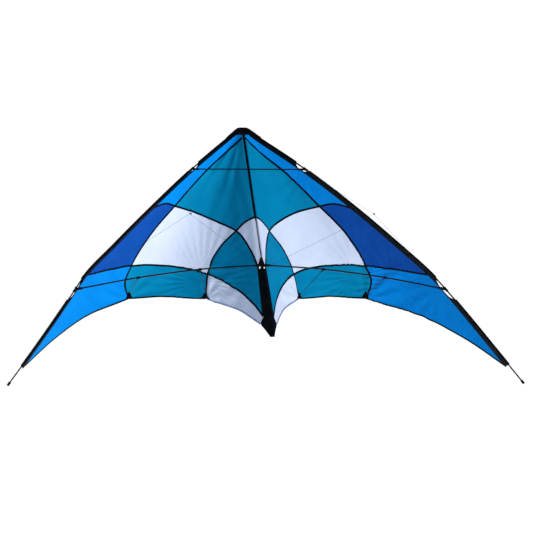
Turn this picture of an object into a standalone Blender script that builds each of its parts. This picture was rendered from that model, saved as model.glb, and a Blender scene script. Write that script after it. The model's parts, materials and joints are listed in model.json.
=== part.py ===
"""Dual-line delta stunt kite with a framed fabric sail, bridle and standoffs.

Metres, +Z up. The origin is the middle of the centre T, where the bridle holds
the kite. The pilot is on the -Y side and the nose leans away from the pilot.
The wings are mirror images about X = 0.
"""

import math
from bisect import bisect_right

import bmesh
import bpy
from mathutils import Matrix, Vector

MM = 0.001
LEAN = math.radians(21.0)

# Leading edge, as the centre line of the spar: span, depth and height.
LEADING_EDGE = (
    (0.024, 0.219, 0.529),
    (0.242, 0.150, 0.378),
    (0.418, 0.100, 0.240),
    (0.600, 0.060, 0.085),
    (0.753, 0.029, -0.055),
    (0.787, 0.016, -0.096),
    (1.020, -0.040, -0.380),
    (1.100, -0.052, -0.476),
)
UPPER_CONNECTOR_SPAN = 0.242
LOWER_CONNECTOR_SPAN = 0.787
FERRULE_SPAN = 0.600
SAIL_TIP_SPAN = 1.032
SPAR_END_SPAN = 1.092

# The lower spreader bows gently downwards from the T to the leading edge.
LOWER_SPREADER = (
    (0.0, 0.0, 0.0),
    (0.262, 0.010, -0.017),
    (0.524, 0.010, -0.050),
    (0.787, 0.016, -0.096),
)
INNER_STANDOFF_SPAN = 0.262
OUTER_STANDOFF_SPAN = 0.524

# Rods
SPAR_RADIUS = 3.0 * MM
SPREADER_RADIUS = 3.0 * MM
UPPER_SPREADER_RADIUS = 2.5 * MM
STANDOFF_RADIUS = 1.2 * MM
FERRULE_WALL = 0.8 * MM
FERRULE_LENGTH = 46 * MM
BRIDLE_RADIUS = 0.8 * MM
GAP = 0.35 * MM

# Spine, in the kite's own plane: height along the keel, depth behind the T.
SPINE_BACK = 14 * MM
SPINE_TOP = 0.556
SPINE_BOTTOM = -0.290
KEEL_BACK = 8.5 * MM
KEEL_FLAT = 20 * MM

# Sail
CLOTH = 0.8 * MM
SAIL_APEX = 0.590
BILLOW = 1.10
SLEEVE_FLAP = 10 * MM
SLEEVE_BORE = SPAR_RADIUS + 2.8 * MM
HEM_WIDTH = 3.5 * MM
SEAM_GAP = 0.6 * MM
PANEL_CELLS = 6

SLEEVE_STATIONS = 34
SLEEVE_SKIN = 0.7 * MM
UPPER_CUT = (36 * MM, 22 * MM)
LOWER_CUT = (40 * MM, 38 * MM)
CUT_START = 7 * MM

# Moulded fittings
TEE_HEIGHT = 40 * MM
TEE_WALL = 2.9 * MM
TEE_FRONT = 5.4 * MM
TEE_BOSS_WIDTH = 9 * MM
TEE_BOSS_HEIGHT = 16 * MM
ARM_START = 5.6 * MM
ARM_LENGTH = 26 * MM
ARM_BOTTOM = 3 * MM
FITTING_WALL = 1.6 * MM
SOCKET_DEPTH = 18 * MM
SOCKET_BOTTOM = 0.5 * MM
CONNECTOR_LENGTH = 22 * MM
CONNECTOR_SLACK = 0.7 * MM
CLIP_LENGTH = 12 * MM
CLIP_DEPTH = 8 * MM
CLIP_WALL = 1.3 * MM
NOCK_LENGTH = 16 * MM
NOCK_DEPTH = 12 * MM
NOCK_WALL = 2.0 * MM
NOSE_FRONT = 3.4 * MM
NOSE_REAR = 24 * MM
NOSE_PLATE = 2 * MM

# Trailing-edge fittings: where the standoffs' tips rest, and their sewn patches.
INNER_TIP = (0.197, -0.071)
OUTER_TIP = (0.503, -0.052)
PATCH_REACH = 17 * MM
PATCH_HEIGHT = 25 * MM
PATCH_BACK = 3.4 * MM
PATCH_THICK = 1.4 * MM
PATCH_FRONT = 4.8 * MM
CUP_DEPTH = 7 * MM
CUP_BOTTOM = 2 * MM

# Tow points, where the bridle legs of each side come together.
TOW_POINT = Vector((0.390, -0.200, 0.200))
BRIDLE_START = SPREADER_RADIUS + 8 * MM
TOW_GAP = 5 * MM
TOW_BEND = 12 * MM
KNOT_RADIUS = 4 * MM

# Sail seams in the kite's plane: span and height along the keel. Those that begin
# at the leading edge have their first point worked out from it.
KEEL_GAP = 0.8 * MM
KEEL_HEIGHTS = (0.535, 0.206, 0.034)
UPPER_SEAM_SPAN = 0.424
LOWER_SEAM_SPAN = 0.730
CHORD_SEAM = ((0.006, 0.543), (0.150, 0.428), (0.308, 0.276), (0.425, 0.155),
              (0.498, 0.050), (0.524, -0.014), (0.504, -0.064))
UPPER_SEAM = ((0.350, 0.276), (0.308, 0.276), (0.220, 0.262),
              (0.140, 0.222), (0.071, 0.164), (0.034, 0.077), (0.016, -0.006))
LOWER_SEAM = ((0.609, 0.020), (0.498, 0.050), (0.366, 0.062), (0.244, 0.041),
              (0.183, 0.012), (0.095, -0.071), (0.045, -0.153), (0.0225, -0.209))
LEAF_SEAM = ((KEEL_GAP, 0.206), (0.038, 0.192), (0.071, 0.164), (0.128, 0.115),
             (0.165, 0.061), (0.183, 0.012), (0.198, -0.083))
TAIL_TRAIL = ((0.034, -0.238), (0.096, -0.157), (0.198, -0.083))
MIDDLE_TRAIL = ((0.198, -0.083), (0.355, -0.056), (0.504, -0.064))
OUTER_TRAIL = ((0.504, -0.064), (0.706, -0.151), (0.868, -0.259))
STRIP_EDGE = ((0.016, -0.006), (0.0175, -0.050), (0.0185, -0.090), (0.0225, -0.209))

# Keel strip, as half width against height along the keel, and tail patch, as
# height against half width.
STRIP_TOP, STRIP_BOTTOM = -0.026, -0.212
STRIP_HALF = ((0.0214, -0.212), (0.0172, -0.100), (0.0150, -0.070), (0.0120, -0.045),
              (0.0085, -0.026))
STRIP_SHARES = (-1, -0.5, 0, 0.5, 1)
TAIL_OUTLINE = ((-0.2135, 0.0215), (-0.2380, 0.0325), (-0.2700, 0.0200), (-0.3000, 0.0080))

BLACK = (0.012, 0.012, 0.014)
COLOURS = {
    "carbon": ((0.020, 0.020, 0.022), 0.35, 0.0),
    "moulded": (BLACK, 0.55, 0.0),
    "webbing": ((0.010, 0.011, 0.013), 0.85, 0.0),
    "cord": ((0.03, 0.03, 0.035), 0.8, 0.0),
    "aluminium": ((0.70, 0.71, 0.72), 0.3, 1.0),
    "azure": ((0.004, 0.270, 0.830), 0.6, 0.0),
    "teal": ((0.003, 0.230, 0.440), 0.6, 0.0),
    "navy": ((0.006, 0.085, 0.350), 0.6, 0.0),
    "white": ((0.660, 0.710, 0.870), 0.6, 0.0),
}


# ---------------------------------------------------------------- curves


def smooth(points, t):
    """Point on a smooth curve through the points, t counted in points."""
    points = [Vector(p) for p in points]
    last = len(points) - 1
    i = min(max(int(t), 0), last - 1)
    f = t - i
    b, c = points[i], points[i + 1]
    a = points[i - 1] if i else b * 2 - c
    d = points[i + 2] if i + 2 <= last else c * 2 - b
    ab = max((b - a).length, 1e-6)
    bc = max((c - b).length, 1e-6)
    cd = max((d - c).length, 1e-6)
    out = ((c - b) / bc * ab + (b - a) / ab * bc) * (bc / (ab + bc))
    into = ((d - c) / cd * bc + (c - b) / bc * cd) * (bc / (bc + cd))
    ff, fff = f * f, f * f * f
    return (b * (2 * fff - 3 * ff + 1) + out * (fff - 2 * ff + f)
            + c * (3 * ff - 2 * fff) + into * (fff - ff))


def position(points, value, axis=0):
    """Where along the curve its coordinate on the axis has this value."""
    last = len(points) - 1
    rising = points[-1][axis] > points[0][axis]
    low, high = 0.0, float(last)
    for _ in range(40):
        middle = (low + high) / 2
        below = smooth(points, middle)[axis] < value
        if below == rising:
            low = middle
        else:
            high = middle
    return (low + high) / 2


def stretch(points, start, end, cells):
    """Evenly spaced points along a piece of the curve, both ends kept."""
    fine = [smooth(points, start + (end - start) * i / 120) for i in range(121)]
    along = [0.0]
    for a, b in zip(fine, fine[1:]):
        along.append(along[-1] + (b - a).length)
    kept = []
    for n in range(cells + 1):
        want = along[-1] * n / cells
        i = min(max(bisect_right(along, want) - 1, 0), 119)
        step = along[i + 1] - along[i]
        kept.append(fine[i].lerp(fine[i + 1], (want - along[i]) / step if step else 0))
    return kept


def plane_to_world(span, height, back):
    """A point given in the kite's own plane."""
    return Vector((span,
                   height * math.sin(LEAN) + back * math.cos(LEAN),
                   height * math.cos(LEAN) - back * math.sin(LEAN)))


def world_to_plane(point):
    """Span, height along the keel and depth of a world point."""
    x, y, z = point
    return (x,
            y * math.sin(LEAN) + z * math.cos(LEAN),
            y * math.cos(LEAN) - z * math.sin(LEAN))


EDGE_PLAN = [Vector(world_to_plane(p)) for p in LEADING_EDGE]


def edge_at(height):
    """The leading edge in the kite's plane, at a height along the keel."""
    if height > EDGE_PLAN[0].y:
        share = (SAIL_APEX - height) / (SAIL_APEX - EDGE_PLAN[0].y)
        return EDGE_PLAN[0].x * share, EDGE_PLAN[0].z
    found = smooth(EDGE_PLAN, position(EDGE_PLAN, height, 1))
    return found.x, found.z


def sail_back(span, height):
    """How far the billowed sail lies behind the T, in the kite's plane."""
    edge_span, edge_back = edge_at(height)
    reach = math.sqrt(span * span + KEEL_FLAT * KEEL_FLAT) - KEEL_FLAT
    full = math.sqrt(edge_span * edge_span + KEEL_FLAT * KEEL_FLAT) - KEEL_FLAT
    share = reach / max(full, MM)
    drop = SAIL_APEX - height
    return (KEEL_BACK * (1 - share) + edge_back * share
            + BILLOW * drop * share * (1 - share))


def on_sail(span, height):
    return plane_to_world(span, height, sail_back(span, height))


def edge_inset(t, inset):
    """Plan point inside the leading edge by the inset, at place t along it."""
    here = smooth(EDGE_PLAN, t).xy
    ahead = (smooth(EDGE_PLAN, t + 0.01).xy - smooth(EDGE_PLAN, t - 0.01).xy).normalized()
    inward = Vector((ahead.y, -ahead.x))
    if inward.x > 0:
        inward = -inward
    return here + inward * inset


# ---------------------------------------------------------------- making objects


def material(slot):
    found = bpy.data.materials.get(slot)
    if found:
        return found
    colour, roughness, metallic = COLOURS[slot]
    made = bpy.data.materials.new(slot)
    made.use_nodes = True
    shader = made.node_tree.nodes["Principled BSDF"]
    shader.inputs["Base Color"].default_value = (*colour, 1)
    shader.inputs["Roughness"].default_value = roughness
    shader.inputs["Metallic"].default_value = metallic
    made.diffuse_color = (*colour, 1)
    return made


def dress(obj, slot, rounded=False):
    """Gives a mesh object its own material and shading."""
    own = material(slot).copy()
    own.name = obj.name
    obj.data.materials.clear()
    obj.data.materials.append(own)
    for face in obj.data.polygons:
        face.use_smooth = rounded
    return obj


def add_object(name, mesh_maker, slot, rounded=False, cutter=False):
    """A new object from a bmesh that the maker fills."""
    bm = bmesh.new()
    mesh_maker(bm)
    bmesh.ops.recalc_face_normals(bm, faces=bm.faces)
    mesh = bpy.data.meshes.new(name)
    bm.to_mesh(mesh)
    bm.free()
    obj = bpy.data.objects.new(name, mesh)
    if cutter:
        CUTTERS.objects.link(obj)
        obj.hide_render = True
        obj.display_type = "WIRE"
        return obj
    KITE.objects.link(obj)
    return dress(obj, slot, rounded)


def axes_along(direction, facing=Vector((0, -1, 0))):
    """A rotation whose Z runs along the direction and whose X turns to facing."""
    z = direction.normalized()
    x = (facing - z * facing.dot(z)).normalized()
    y = z.cross(x)
    return Matrix((x, y, z)).transposed()


def place(obj, origin, direction, facing=Vector((0, -1, 0))):
    obj.rotation_mode = "QUATERNION"
    obj.rotation_quaternion = axes_along(direction, facing).to_quaternion()
    obj.location = origin
    return obj


def ring(bm, radius, z, sides, turn=0.0):
    return [bm.verts.new((radius * math.cos(turn + 2 * math.pi * i / sides),
                          radius * math.sin(turn + 2 * math.pi * i / sides), z))
            for i in range(sides)]


def lathe(bm, profile, sides=10, closed=False):
    """Turns a profile of (radius, height) about Z. A closed one makes a tube."""
    rings = [ring(bm, r, z, sides) for r, z in profile]
    pairs = list(zip(rings, rings[1:]))
    if closed:
        pairs.append((rings[-1], rings[0]))
    for low, high in pairs:
        for i in range(sides):
            j = (i + 1) % sides
            bm.faces.new((low[i], low[j], high[j], high[i]))
    if not closed:
        bm.faces.new(rings[0])
        bm.faces.new(rings[-1])


def tube(name, origin, direction, length, bore, outside, slot, sides=12):
    """A straight open tube that starts at the origin."""
    profile = ((outside, 0), (outside, length), (bore, length), (bore, 0))
    obj = add_object(name, lambda bm: lathe(bm, profile, sides, closed=True), slot, True)
    return place(obj, origin, direction)


def box(bm, *limits):
    """A box between pairs of limits on X, Y and Z."""
    for vert in bmesh.ops.create_cube(bm, size=1.0)["verts"]:
        vert.co = Vector([low + (high - low) * (vert.co[i] + 0.5)
                          for i, (low, high) in enumerate(limits)])


def plate(bm, outline, low, high):
    """An outline of (height, width) points, given a thickness along X."""
    rings = [[bm.verts.new((x, across, up)) for across, up in outline] for x in (low, high)]
    for i in range(len(outline)):
        j = (i + 1) % len(outline)
        bm.faces.new((rings[0][i], rings[0][j], rings[1][j], rings[1][i]))
    bm.faces.new(rings[0])
    bm.faces.new(rings[1])


def boolean(obj, other, operation):
    change = obj.modifiers.new(operation.lower(), "BOOLEAN")
    change.operation = operation
    change.solver = "EXACT"
    change.object = other
    return obj


def rod(name, points, radius, slot, resolution=2):
    """A bent rod along the points, as a filled curve turned to a mesh."""
    curve = bpy.data.curves.new(name, "CURVE")
    curve.dimensions = "3D"
    curve.bevel_depth = radius
    curve.bevel_resolution = resolution
    curve.use_fill_caps = True
    spline = curve.splines.new("POLY")
    spline.points.add(len(points) - 1)
    for point, co in zip(spline.points, points):
        point.co = (*co, 1)
    guide = bpy.data.objects.new(name + "_guide", curve)
    KITE.objects.link(guide)
    bpy.context.view_layer.update()
    mesh = bpy.data.meshes.new_from_object(
        guide.evaluated_get(bpy.context.evaluated_depsgraph_get()))
    bpy.data.objects.remove(guide)
    bm = bmesh.new()
    bm.from_mesh(mesh)
    bmesh.ops.remove_doubles(bm, verts=bm.verts, dist=1e-5)
    bmesh.ops.recalc_face_normals(bm, faces=bm.faces)
    bm.to_mesh(mesh)
    bm.free()
    mesh.name = name
    obj = bpy.data.objects.new(name, mesh)
    KITE.objects.link(obj)
    return dress(obj, slot, True)


def mirrored(point, side):
    return Vector((point[0] * side, point[1], point[2]))


# ---------------------------------------------------------------- sail


def patch_point(sides, column, row):
    """Blends four plan curves: low and high run across, left and right along."""
    low, high, left, right = sides
    fs, ft = column / (len(low) - 1), row / (len(left) - 1)
    edges = low[column].lerp(high[column], ft) + left[row].lerp(right[row], fs)
    corners = low[0].lerp(low[-1], fs).lerp(high[0].lerp(high[-1], fs), ft)
    return edges - corners


def cloth(name, rows, slot, thickness=CLOTH, cutter=False):
    """A closed sheet about the middle surface given as rows of points."""
    across, along = len(rows[0]), len(rows)

    def normal(r, c):
        before, after = max(c - 1, 0), min(c + 1, across - 1)
        up, down = max(r - 1, 0), min(r + 1, along - 1)
        return (rows[r][after] - rows[r][before]).cross(
            rows[down][c] - rows[up][c]).normalized()

    def fill(bm):
        front, back = [], []
        for r in range(along):
            out = [normal(r, c) * thickness / 2 for c in range(across)]
            front.append([bm.verts.new(rows[r][c] + out[c]) for c in range(across)])
            back.append([bm.verts.new(rows[r][c] - out[c]) for c in range(across)])
        for r in range(along - 1):
            for c in range(across - 1):
                for layer in (front, back):
                    bm.faces.new((layer[r][c], layer[r][c + 1],
                                  layer[r + 1][c + 1], layer[r + 1][c]))
        rim = ([(0, c) for c in range(across)]
               + [(r, across - 1) for r in range(1, along)]
               + [(along - 1, c) for c in range(across - 2, -1, -1)]
               + [(r, 0) for r in range(along - 2, 0, -1)])
        for (r, c), (rr, cc) in zip(rim, rim[1:] + rim[:1]):
            bm.faces.new((front[r][c], front[rr][cc], back[rr][cc], back[r][c]))

    return add_object(name, fill, slot, True, cutter)


def pull_in(grid, gap):
    """Moves the outer points of a plan grid squarely inwards by the gap."""
    rows, columns = len(grid), len(grid[0])
    moved = [list(row) for row in grid]

    def shift(r, c, inner, before, after):
        way = inner - grid[r][c]
        edge = (after - before).normalized()
        square = way - edge * way.dot(edge)
        if square.length > 1e-6:
            moved[r][c] = moved[r][c] + square * min(gap / square.length, 0.3)

    for r in range(rows):
        above, below = grid[max(r - 1, 0)], grid[min(r + 1, rows - 1)]
        shift(r, 0, grid[r][1], above[0], below[0])
        shift(r, -1, grid[r][-2], above[-1], below[-1])
    for c in range(columns):
        before, after = max(c - 1, 0), min(c + 1, columns - 1)
        shift(0, c, grid[1][c], grid[0][before], grid[0][after])
        shift(-1, c, grid[-2][c], grid[-1][before], grid[-1][after])
    return moved


def sail_panel(name, side, sides, slot):
    low, _, left, _ = sides
    grid = [[patch_point(sides, column, row) for column in range(len(low))]
            for row in range(len(left))]
    rows = [[mirrored(on_sail(p.x, p.y), side) for p in row]
            for row in pull_in(grid, SEAM_GAP)]
    return cloth(name, rows, slot)


def seam_piece(points, start, end):
    return stretch(points, start, end, PANEL_CELLS)


def straight(a, b, cells=PANEL_CELLS):
    a, b = Vector(a), Vector(b)
    return [a.lerp(b, i / cells) for i in range(cells + 1)]


def hem_point(span):
    """Where the sail meets the sleeve, beside the spar at this span."""
    return edge_inset(position(EDGE_PLAN, span), SLEEVE_FLAP + SEAM_GAP)


def hem_line(start, end):
    """The sail's edge along the sleeve, between two spans of the spar."""
    low, high = position(EDGE_PLAN, start), position(EDGE_PLAN, end)
    return [edge_inset(low + (high - low) * i / PANEL_CELLS, SLEEVE_FLAP + SEAM_GAP)
            for i in range(PANEL_CELLS + 1)]


def blunt(inner, outer):
    """Two sides that meet at a point, drawn apart a little at both ends."""
    for end, beside in ((0, 1), (-1, -2)):
        inner[end] = inner[end].lerp(inner[beside], 0.12)
        outer[end] = outer[end].lerp(outer[beside], 0.12)
    return inner, outer


def build_sail(word, side):
    upper = (hem_point(UPPER_SEAM_SPAN), *UPPER_SEAM)
    lower = (hem_point(LOWER_SEAM_SPAN), *LOWER_SEAM)
    outer_trail = (*OUTER_TRAIL, hem_point(SAIL_TIP_SPAN))
    chord_top, chord_middle, chord_low = (seam_piece(CHORD_SEAM, a, a + 2) for a in (0, 2, 4))
    upper_edge, upper_mid, upper_keel = (
        seam_piece(upper, 0, 2), seam_piece(upper, 2, 5), seam_piece(upper, 5, 7))
    lower_edge, lower_mid, lower_tail = (
        seam_piece(lower, 0, 2), seam_piece(lower, 2, 5), seam_piece(lower, 5, 8))
    leaf_top, leaf_mid, leaf_low = (
        seam_piece(LEAF_SEAM, 0, 2), seam_piece(LEAF_SEAM, 2, 5), seam_piece(LEAF_SEAM, 5, 6))
    trail_tail, trail_mid, trail_out = (
        seam_piece(TAIL_TRAIL, 0, 2), seam_piece(MIDDLE_TRAIL, 0, 2),
        seam_piece(outer_trail, 0, 3))
    hem_top = hem_line(EDGE_PLAN[0].x, UPPER_SEAM_SPAN)
    keel_top, keel_leaf, keel_end = (Vector((KEEL_GAP, h)) for h in KEEL_HEIGHTS)
    leaf_inner, leaf_outer = blunt(
        upper_keel + seam_piece(STRIP_EDGE, 0, 3)[1:], leaf_mid + lower_tail[1:])
    beside_leaf = leaf_top + upper_mid[::-1][1:]
    panels = (
        ("azure_strip", "azure", chord_top, hem_top,
         straight(chord_top[0], hem_top[0]), upper_edge[::-1]),
        ("upper_teal_panel", "teal", straight(keel_top, keel_leaf), chord_top,
         straight(keel_top, chord_top[0], 2 * PANEL_CELLS), beside_leaf),
        ("navy_panel", "navy", upper_edge, lower_edge,
         hem_line(UPPER_SEAM_SPAN, LOWER_SEAM_SPAN), chord_middle),
        ("white_panel", "white", upper_mid, lower_mid, chord_middle, leaf_mid),
        ("azure_tip", "azure", lower_edge, trail_out[::-1],
         hem_line(LOWER_SEAM_SPAN, SAIL_TIP_SPAN), chord_low),
        ("lower_teal_panel", "teal", lower_mid, trail_mid[::-1], chord_low, leaf_low),
        ("teal_leaf", "teal", straight(leaf_inner[0], leaf_outer[0]),
         straight(leaf_inner[-1], leaf_outer[-1]), leaf_inner, leaf_outer),
        ("keel_panel", "white", straight(keel_leaf, keel_end), upper_keel,
         leaf_top, straight(keel_end, upper_keel[-1])),
        ("tail_panel", "white", lower_tail, trail_tail[::-1],
         leaf_low, straight(lower_tail[-1], trail_tail[0])),
    )
    for piece, slot, *sides in panels:
        sail_panel(f"{word}_{piece}", side, sides, slot)


# ---------------------------------------------------------------- frame


def edge_frame(span, side):
    """Spar centre, its direction towards the tip, and the reach of the flap."""
    t = position(EDGE_PLAN, span)
    inner = edge_inset(t, SLEEVE_FLAP)
    centre = plane_to_world(*smooth(EDGE_PLAN, t))
    along = (plane_to_world(*smooth(EDGE_PLAN, t + 0.01))
             - plane_to_world(*smooth(EDGE_PLAN, t - 0.01))).normalized()
    flap = on_sail(inner.x, inner.y) - centre
    flap = flap - along * flap.dot(along)
    return mirrored(centre, side), mirrored(along, side), mirrored(flap, side)


def sleeve_section(centre, along, flap, side):
    """Outer and inner outlines of the sleeve round the spar, and its flap."""
    inward = flap.normalized()
    over = inward.cross(along) * side
    outlines = []
    for radius, end, half in ((SLEEVE_BORE + SLEEVE_SKIN, flap.length, 1.1 * MM),
                              (SLEEVE_BORE, flap.length - 1.2 * MM, 0.35 * MM)):
        flat = [(end, -half)]
        flat += [(radius * math.cos(math.radians(a)), radius * math.sin(math.radians(a)))
                 for a in (-100, -140, -180, -220, -260)]
        flat.append((end, half))
        outlines.append([centre + inward * e + over * n for e, n in flat])
    return outlines


def build_sleeve(word, side):
    spans = [EDGE_PLAN[0].x + (SAIL_TIP_SPAN - EDGE_PLAN[0].x) * i / SLEEVE_STATIONS
             for i in range(SLEEVE_STATIONS + 1)]

    def fill(bm):
        stations = []
        for span in spans:
            outlines = sleeve_section(*edge_frame(span, side), side)
            stations.append([[bm.verts.new(p) for p in line] for line in outlines])
        count = len(stations[0][0])
        for low, high in zip(stations, stations[1:]):
            for layer in (0, 1):
                for i in range(count):
                    j = (i + 1) % count
                    bm.faces.new((low[layer][i], low[layer][j],
                                  high[layer][j], high[layer][i]))
        for end in (stations[0], stations[-1]):
            for i in range(count):
                j = (i + 1) % count
                bm.faces.new((end[0][i], end[0][j], end[1][j], end[1][i]))

    sleeve = add_object(f"{word}_leading_edge_sleeve", fill, "webbing", True)
    for label, span, before, after in (
            ("upper", UPPER_CONNECTOR_SPAN, *UPPER_CUT),
            ("lower", LOWER_CONNECTOR_SPAN, *LOWER_CUT)):
        boolean(sleeve, sleeve_cutter(f"{word}_{label}_cut", span - before,
                                      span + after, side), "DIFFERENCE")


def sleeve_cutter(name, start, end, side):
    """A rounded-ended block along the leading edge that leaves only the hem."""
    steps = 10

    def fill(bm):
        rings = []
        for i in range(steps + 1):
            centre, along, flap = edge_frame(start + (end - start) * i / steps, side)
            inward = flap.normalized()
            over = inward.cross(along) * side
            share = 2 * i / steps - 1
            deep = (flap.length - HEM_WIDTH + CUT_START) * (1 - share ** 4) - CUT_START
            rings.append([bm.verts.new(centre + inward * e + over * n)
                          for e, n in ((-12 * MM, -12 * MM), (deep + MM, -12 * MM),
                                       (deep + MM, 12 * MM), (-12 * MM, 12 * MM))])
        for low, high in zip(rings, rings[1:]):
            for i in range(4):
                j = (i + 1) % 4
                bm.faces.new((low[i], low[j], high[j], high[i]))
        bm.faces.new(rings[0])
        bm.faces.new(rings[-1])

    return add_object(name, fill, "webbing", cutter=True)


def edge_points(start, end, side, count):
    low, high = position(EDGE_PLAN, start), position(EDGE_PLAN, end)
    return [mirrored(plane_to_world(*p), side)
            for p in stretch(EDGE_PLAN, low, high, count)]


def spreader_at(span, side):
    """Centre and outward direction of the lower spreader at this span."""
    t = position(LOWER_SPREADER, span)
    here = smooth(LOWER_SPREADER, t)
    ahead = smooth(LOWER_SPREADER, t + 0.01) - smooth(LOWER_SPREADER, t - 0.01)
    return mirrored(here, side), mirrored(ahead.normalized(), side)


def cup(bm, outside, bore, length, bottom, sides=12):
    """A round socket along Z with a solid bottom and an open top."""
    lathe(bm, ((outside, 0), (outside, length), (bore, length), (bore, bottom)), sides)


def cylinder(name, origin, direction, length, radius, slot, sides=12, cutter=False):
    obj = add_object(name, lambda bm: lathe(bm, ((radius, 0), (radius, length)), sides),
                     slot, True, cutter)
    return place(obj, origin, direction)


def seat_distance(axis, direction, outside, bore):
    """How far from a tube's axis a slanting socket's bore can begin."""
    slant = abs(axis.dot(direction))
    return (outside + bore * slant) / math.sqrt(1 - slant * slant) + SOCKET_BOTTOM


def fitting(name, centre, axis, length, bore, wall, direction, socket_bore, socket_wall, depth):
    """A tube round a rod with a blind socket growing from its side.

    Returns the fitting and the distance from its centre to the socket's bottom.
    """
    outside = bore + wall
    seat = seat_distance(axis, direction, outside, socket_bore)
    obj = cylinder(name, centre - axis * length / 2, axis, length, outside, "moulded")
    branch = cylinder(name + "_branch", centre, direction, seat + depth,
                      socket_bore + socket_wall, "moulded", cutter=True)
    through = cylinder(name + "_bore", centre - axis * length, axis, 2 * length, bore,
                       "moulded", cutter=True)
    socket = cylinder(name + "_socket", centre + direction * seat, direction, 2 * depth,
                      socket_bore, "moulded", cutter=True)
    boolean(obj, branch, "UNION")
    boolean(obj, through, "DIFFERENCE")
    boolean(obj, socket, "DIFFERENCE")
    return obj, seat


def open_front(obj, name, start, direction, reach, width):
    """Cuts away the pilot's side of a socket, so that its rod can leave."""
    facing = plane_to_world(0, 0, -1)
    cut = add_object(
        name, lambda bm: box(bm, (0.0, 2 * width), (-width, width), (0.0, reach)),
        "webbing", cutter=True)
    place(cut, start, direction, facing)
    return boolean(obj, cut, "DIFFERENCE")


def build_spars(word, side):
    joint = FERRULE_SPAN
    rod(f"{word}_upper_leading_edge_spar",
        edge_points(EDGE_PLAN[0].x + MM, joint - 0.3 * MM, side, 22), SPAR_RADIUS, "carbon")
    rod(f"{word}_lower_leading_edge_spar",
        edge_points(joint + 0.3 * MM, SPAR_END_SPAN, side, 26), SPAR_RADIUS, "carbon")
    centre, along, _ = edge_frame(joint, side)
    bore = SPAR_RADIUS + GAP
    tube(f"{word}_leading_edge_ferrule", centre - along * FERRULE_LENGTH / 2, along,
         FERRULE_LENGTH, bore, bore + FERRULE_WALL, "aluminium")
    end = edge_points(SPAR_END_SPAN - 2 * MM, SPAR_END_SPAN, side, 1)
    along = (end[1] - end[0]).normalized()
    nock = add_object(
        f"{word}_tip_nock",
        lambda bm: cup(bm, bore + NOCK_WALL, bore, NOCK_LENGTH, NOCK_LENGTH - NOCK_DEPTH),
        "moulded", True)
    place(nock, end[1] + along * (NOCK_LENGTH - NOCK_DEPTH + GAP), -along)


def build_connectors(word, side):
    """Returns where the sockets of the two connectors hold their spreaders."""
    bore = SPAR_RADIUS + CONNECTOR_SLACK
    centre, along, _ = edge_frame(UPPER_CONNECTOR_SPAN, side)
    inward = Vector((-side, 0, 0))
    name = f"{word}_upper_connector"
    obj, upper_seat = fitting(
        name, centre, along, CONNECTOR_LENGTH, bore, FITTING_WALL,
        inward, UPPER_SPREADER_RADIUS + GAP, FITTING_WALL, SOCKET_DEPTH)
    open_front(obj, name + "_mouth", centre + inward * upper_seat, inward,
               2 * SOCKET_DEPTH, 7 * MM)
    centre, along, _ = edge_frame(LOWER_CONNECTOR_SPAN, side)
    _, outward = spreader_at(LOWER_CONNECTOR_SPAN - 20 * MM, side)
    _, lower_seat = fitting(
        f"{word}_lower_connector", centre, along, CONNECTOR_LENGTH, bore, FITTING_WALL,
        -outward, SPREADER_RADIUS + 2 * GAP, FITTING_WALL, SOCKET_DEPTH)
    return upper_seat, lower_seat


def build_lower_spreader(word, side, seat):
    outer, _, _ = edge_frame(LOWER_CONNECTOR_SPAN, side)
    end = abs(outer.x) - seat - GAP
    start = ARM_START + ARM_BOTTOM + GAP
    points = stretch(LOWER_SPREADER, position(LOWER_SPREADER, start),
                     position(LOWER_SPREADER, end), 30)
    rod(f"{word}_lower_spreader", [mirrored(p, side) for p in points],
        SPREADER_RADIUS, "carbon")
    centre, outward = spreader_at(ARM_START, side)
    bore = SPREADER_RADIUS + GAP
    arm = add_object(
        f"{word}_tee_arm",
        lambda bm: cup(bm, bore + FITTING_WALL, bore, ARM_LENGTH, ARM_BOTTOM), "moulded",
        True)
    place(arm, centre, outward)


def sail_front(span, height):
    """A point of the sail and the way out of it towards the pilot."""
    here = on_sail(span, height)
    across = on_sail(span + MM, height) - here
    up = on_sail(span, height + MM) - here
    front = across.cross(up).normalized()
    if front.y > 0:
        front = -front
    return here, front


def build_standoffs(word, side):
    for label, span, plan, corner, before, after in (
            ("inner", INNER_STANDOFF_SPAN, INNER_TIP, MIDDLE_TRAIL[0],
             TAIL_TRAIL[1], MIDDLE_TRAIL[1]),
            ("outer", OUTER_STANDOFF_SPAN, OUTER_TIP, OUTER_TRAIL[0],
             MIDDLE_TRAIL[1], OUTER_TRAIL[1])):
        centre, outward = spreader_at(span, side)
        here, front = sail_front(*plan)
        seat = mirrored(here + front * PATCH_FRONT, side)
        way = (seat - centre).normalized()
        name = f"{word}_{label}_standoff"
        _, socket = fitting(name + "_clip", centre, outward, CLIP_LENGTH,
                            SPREADER_RADIUS + GAP, FITTING_WALL, way,
                            STANDOFF_RADIUS + GAP, CLIP_WALL, CLIP_DEPTH)
        start = centre + way * (socket + GAP)
        end = seat - way * (CUP_BOTTOM + GAP)
        rod(name, [start.lerp(end, i / 3) for i in range(4)], STANDOFF_RADIUS, "carbon")
        trailing_fitting(f"{word}_{label}_trailing_edge_fitting", side, corner, before,
                         after, seat, -way, outward)


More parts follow.
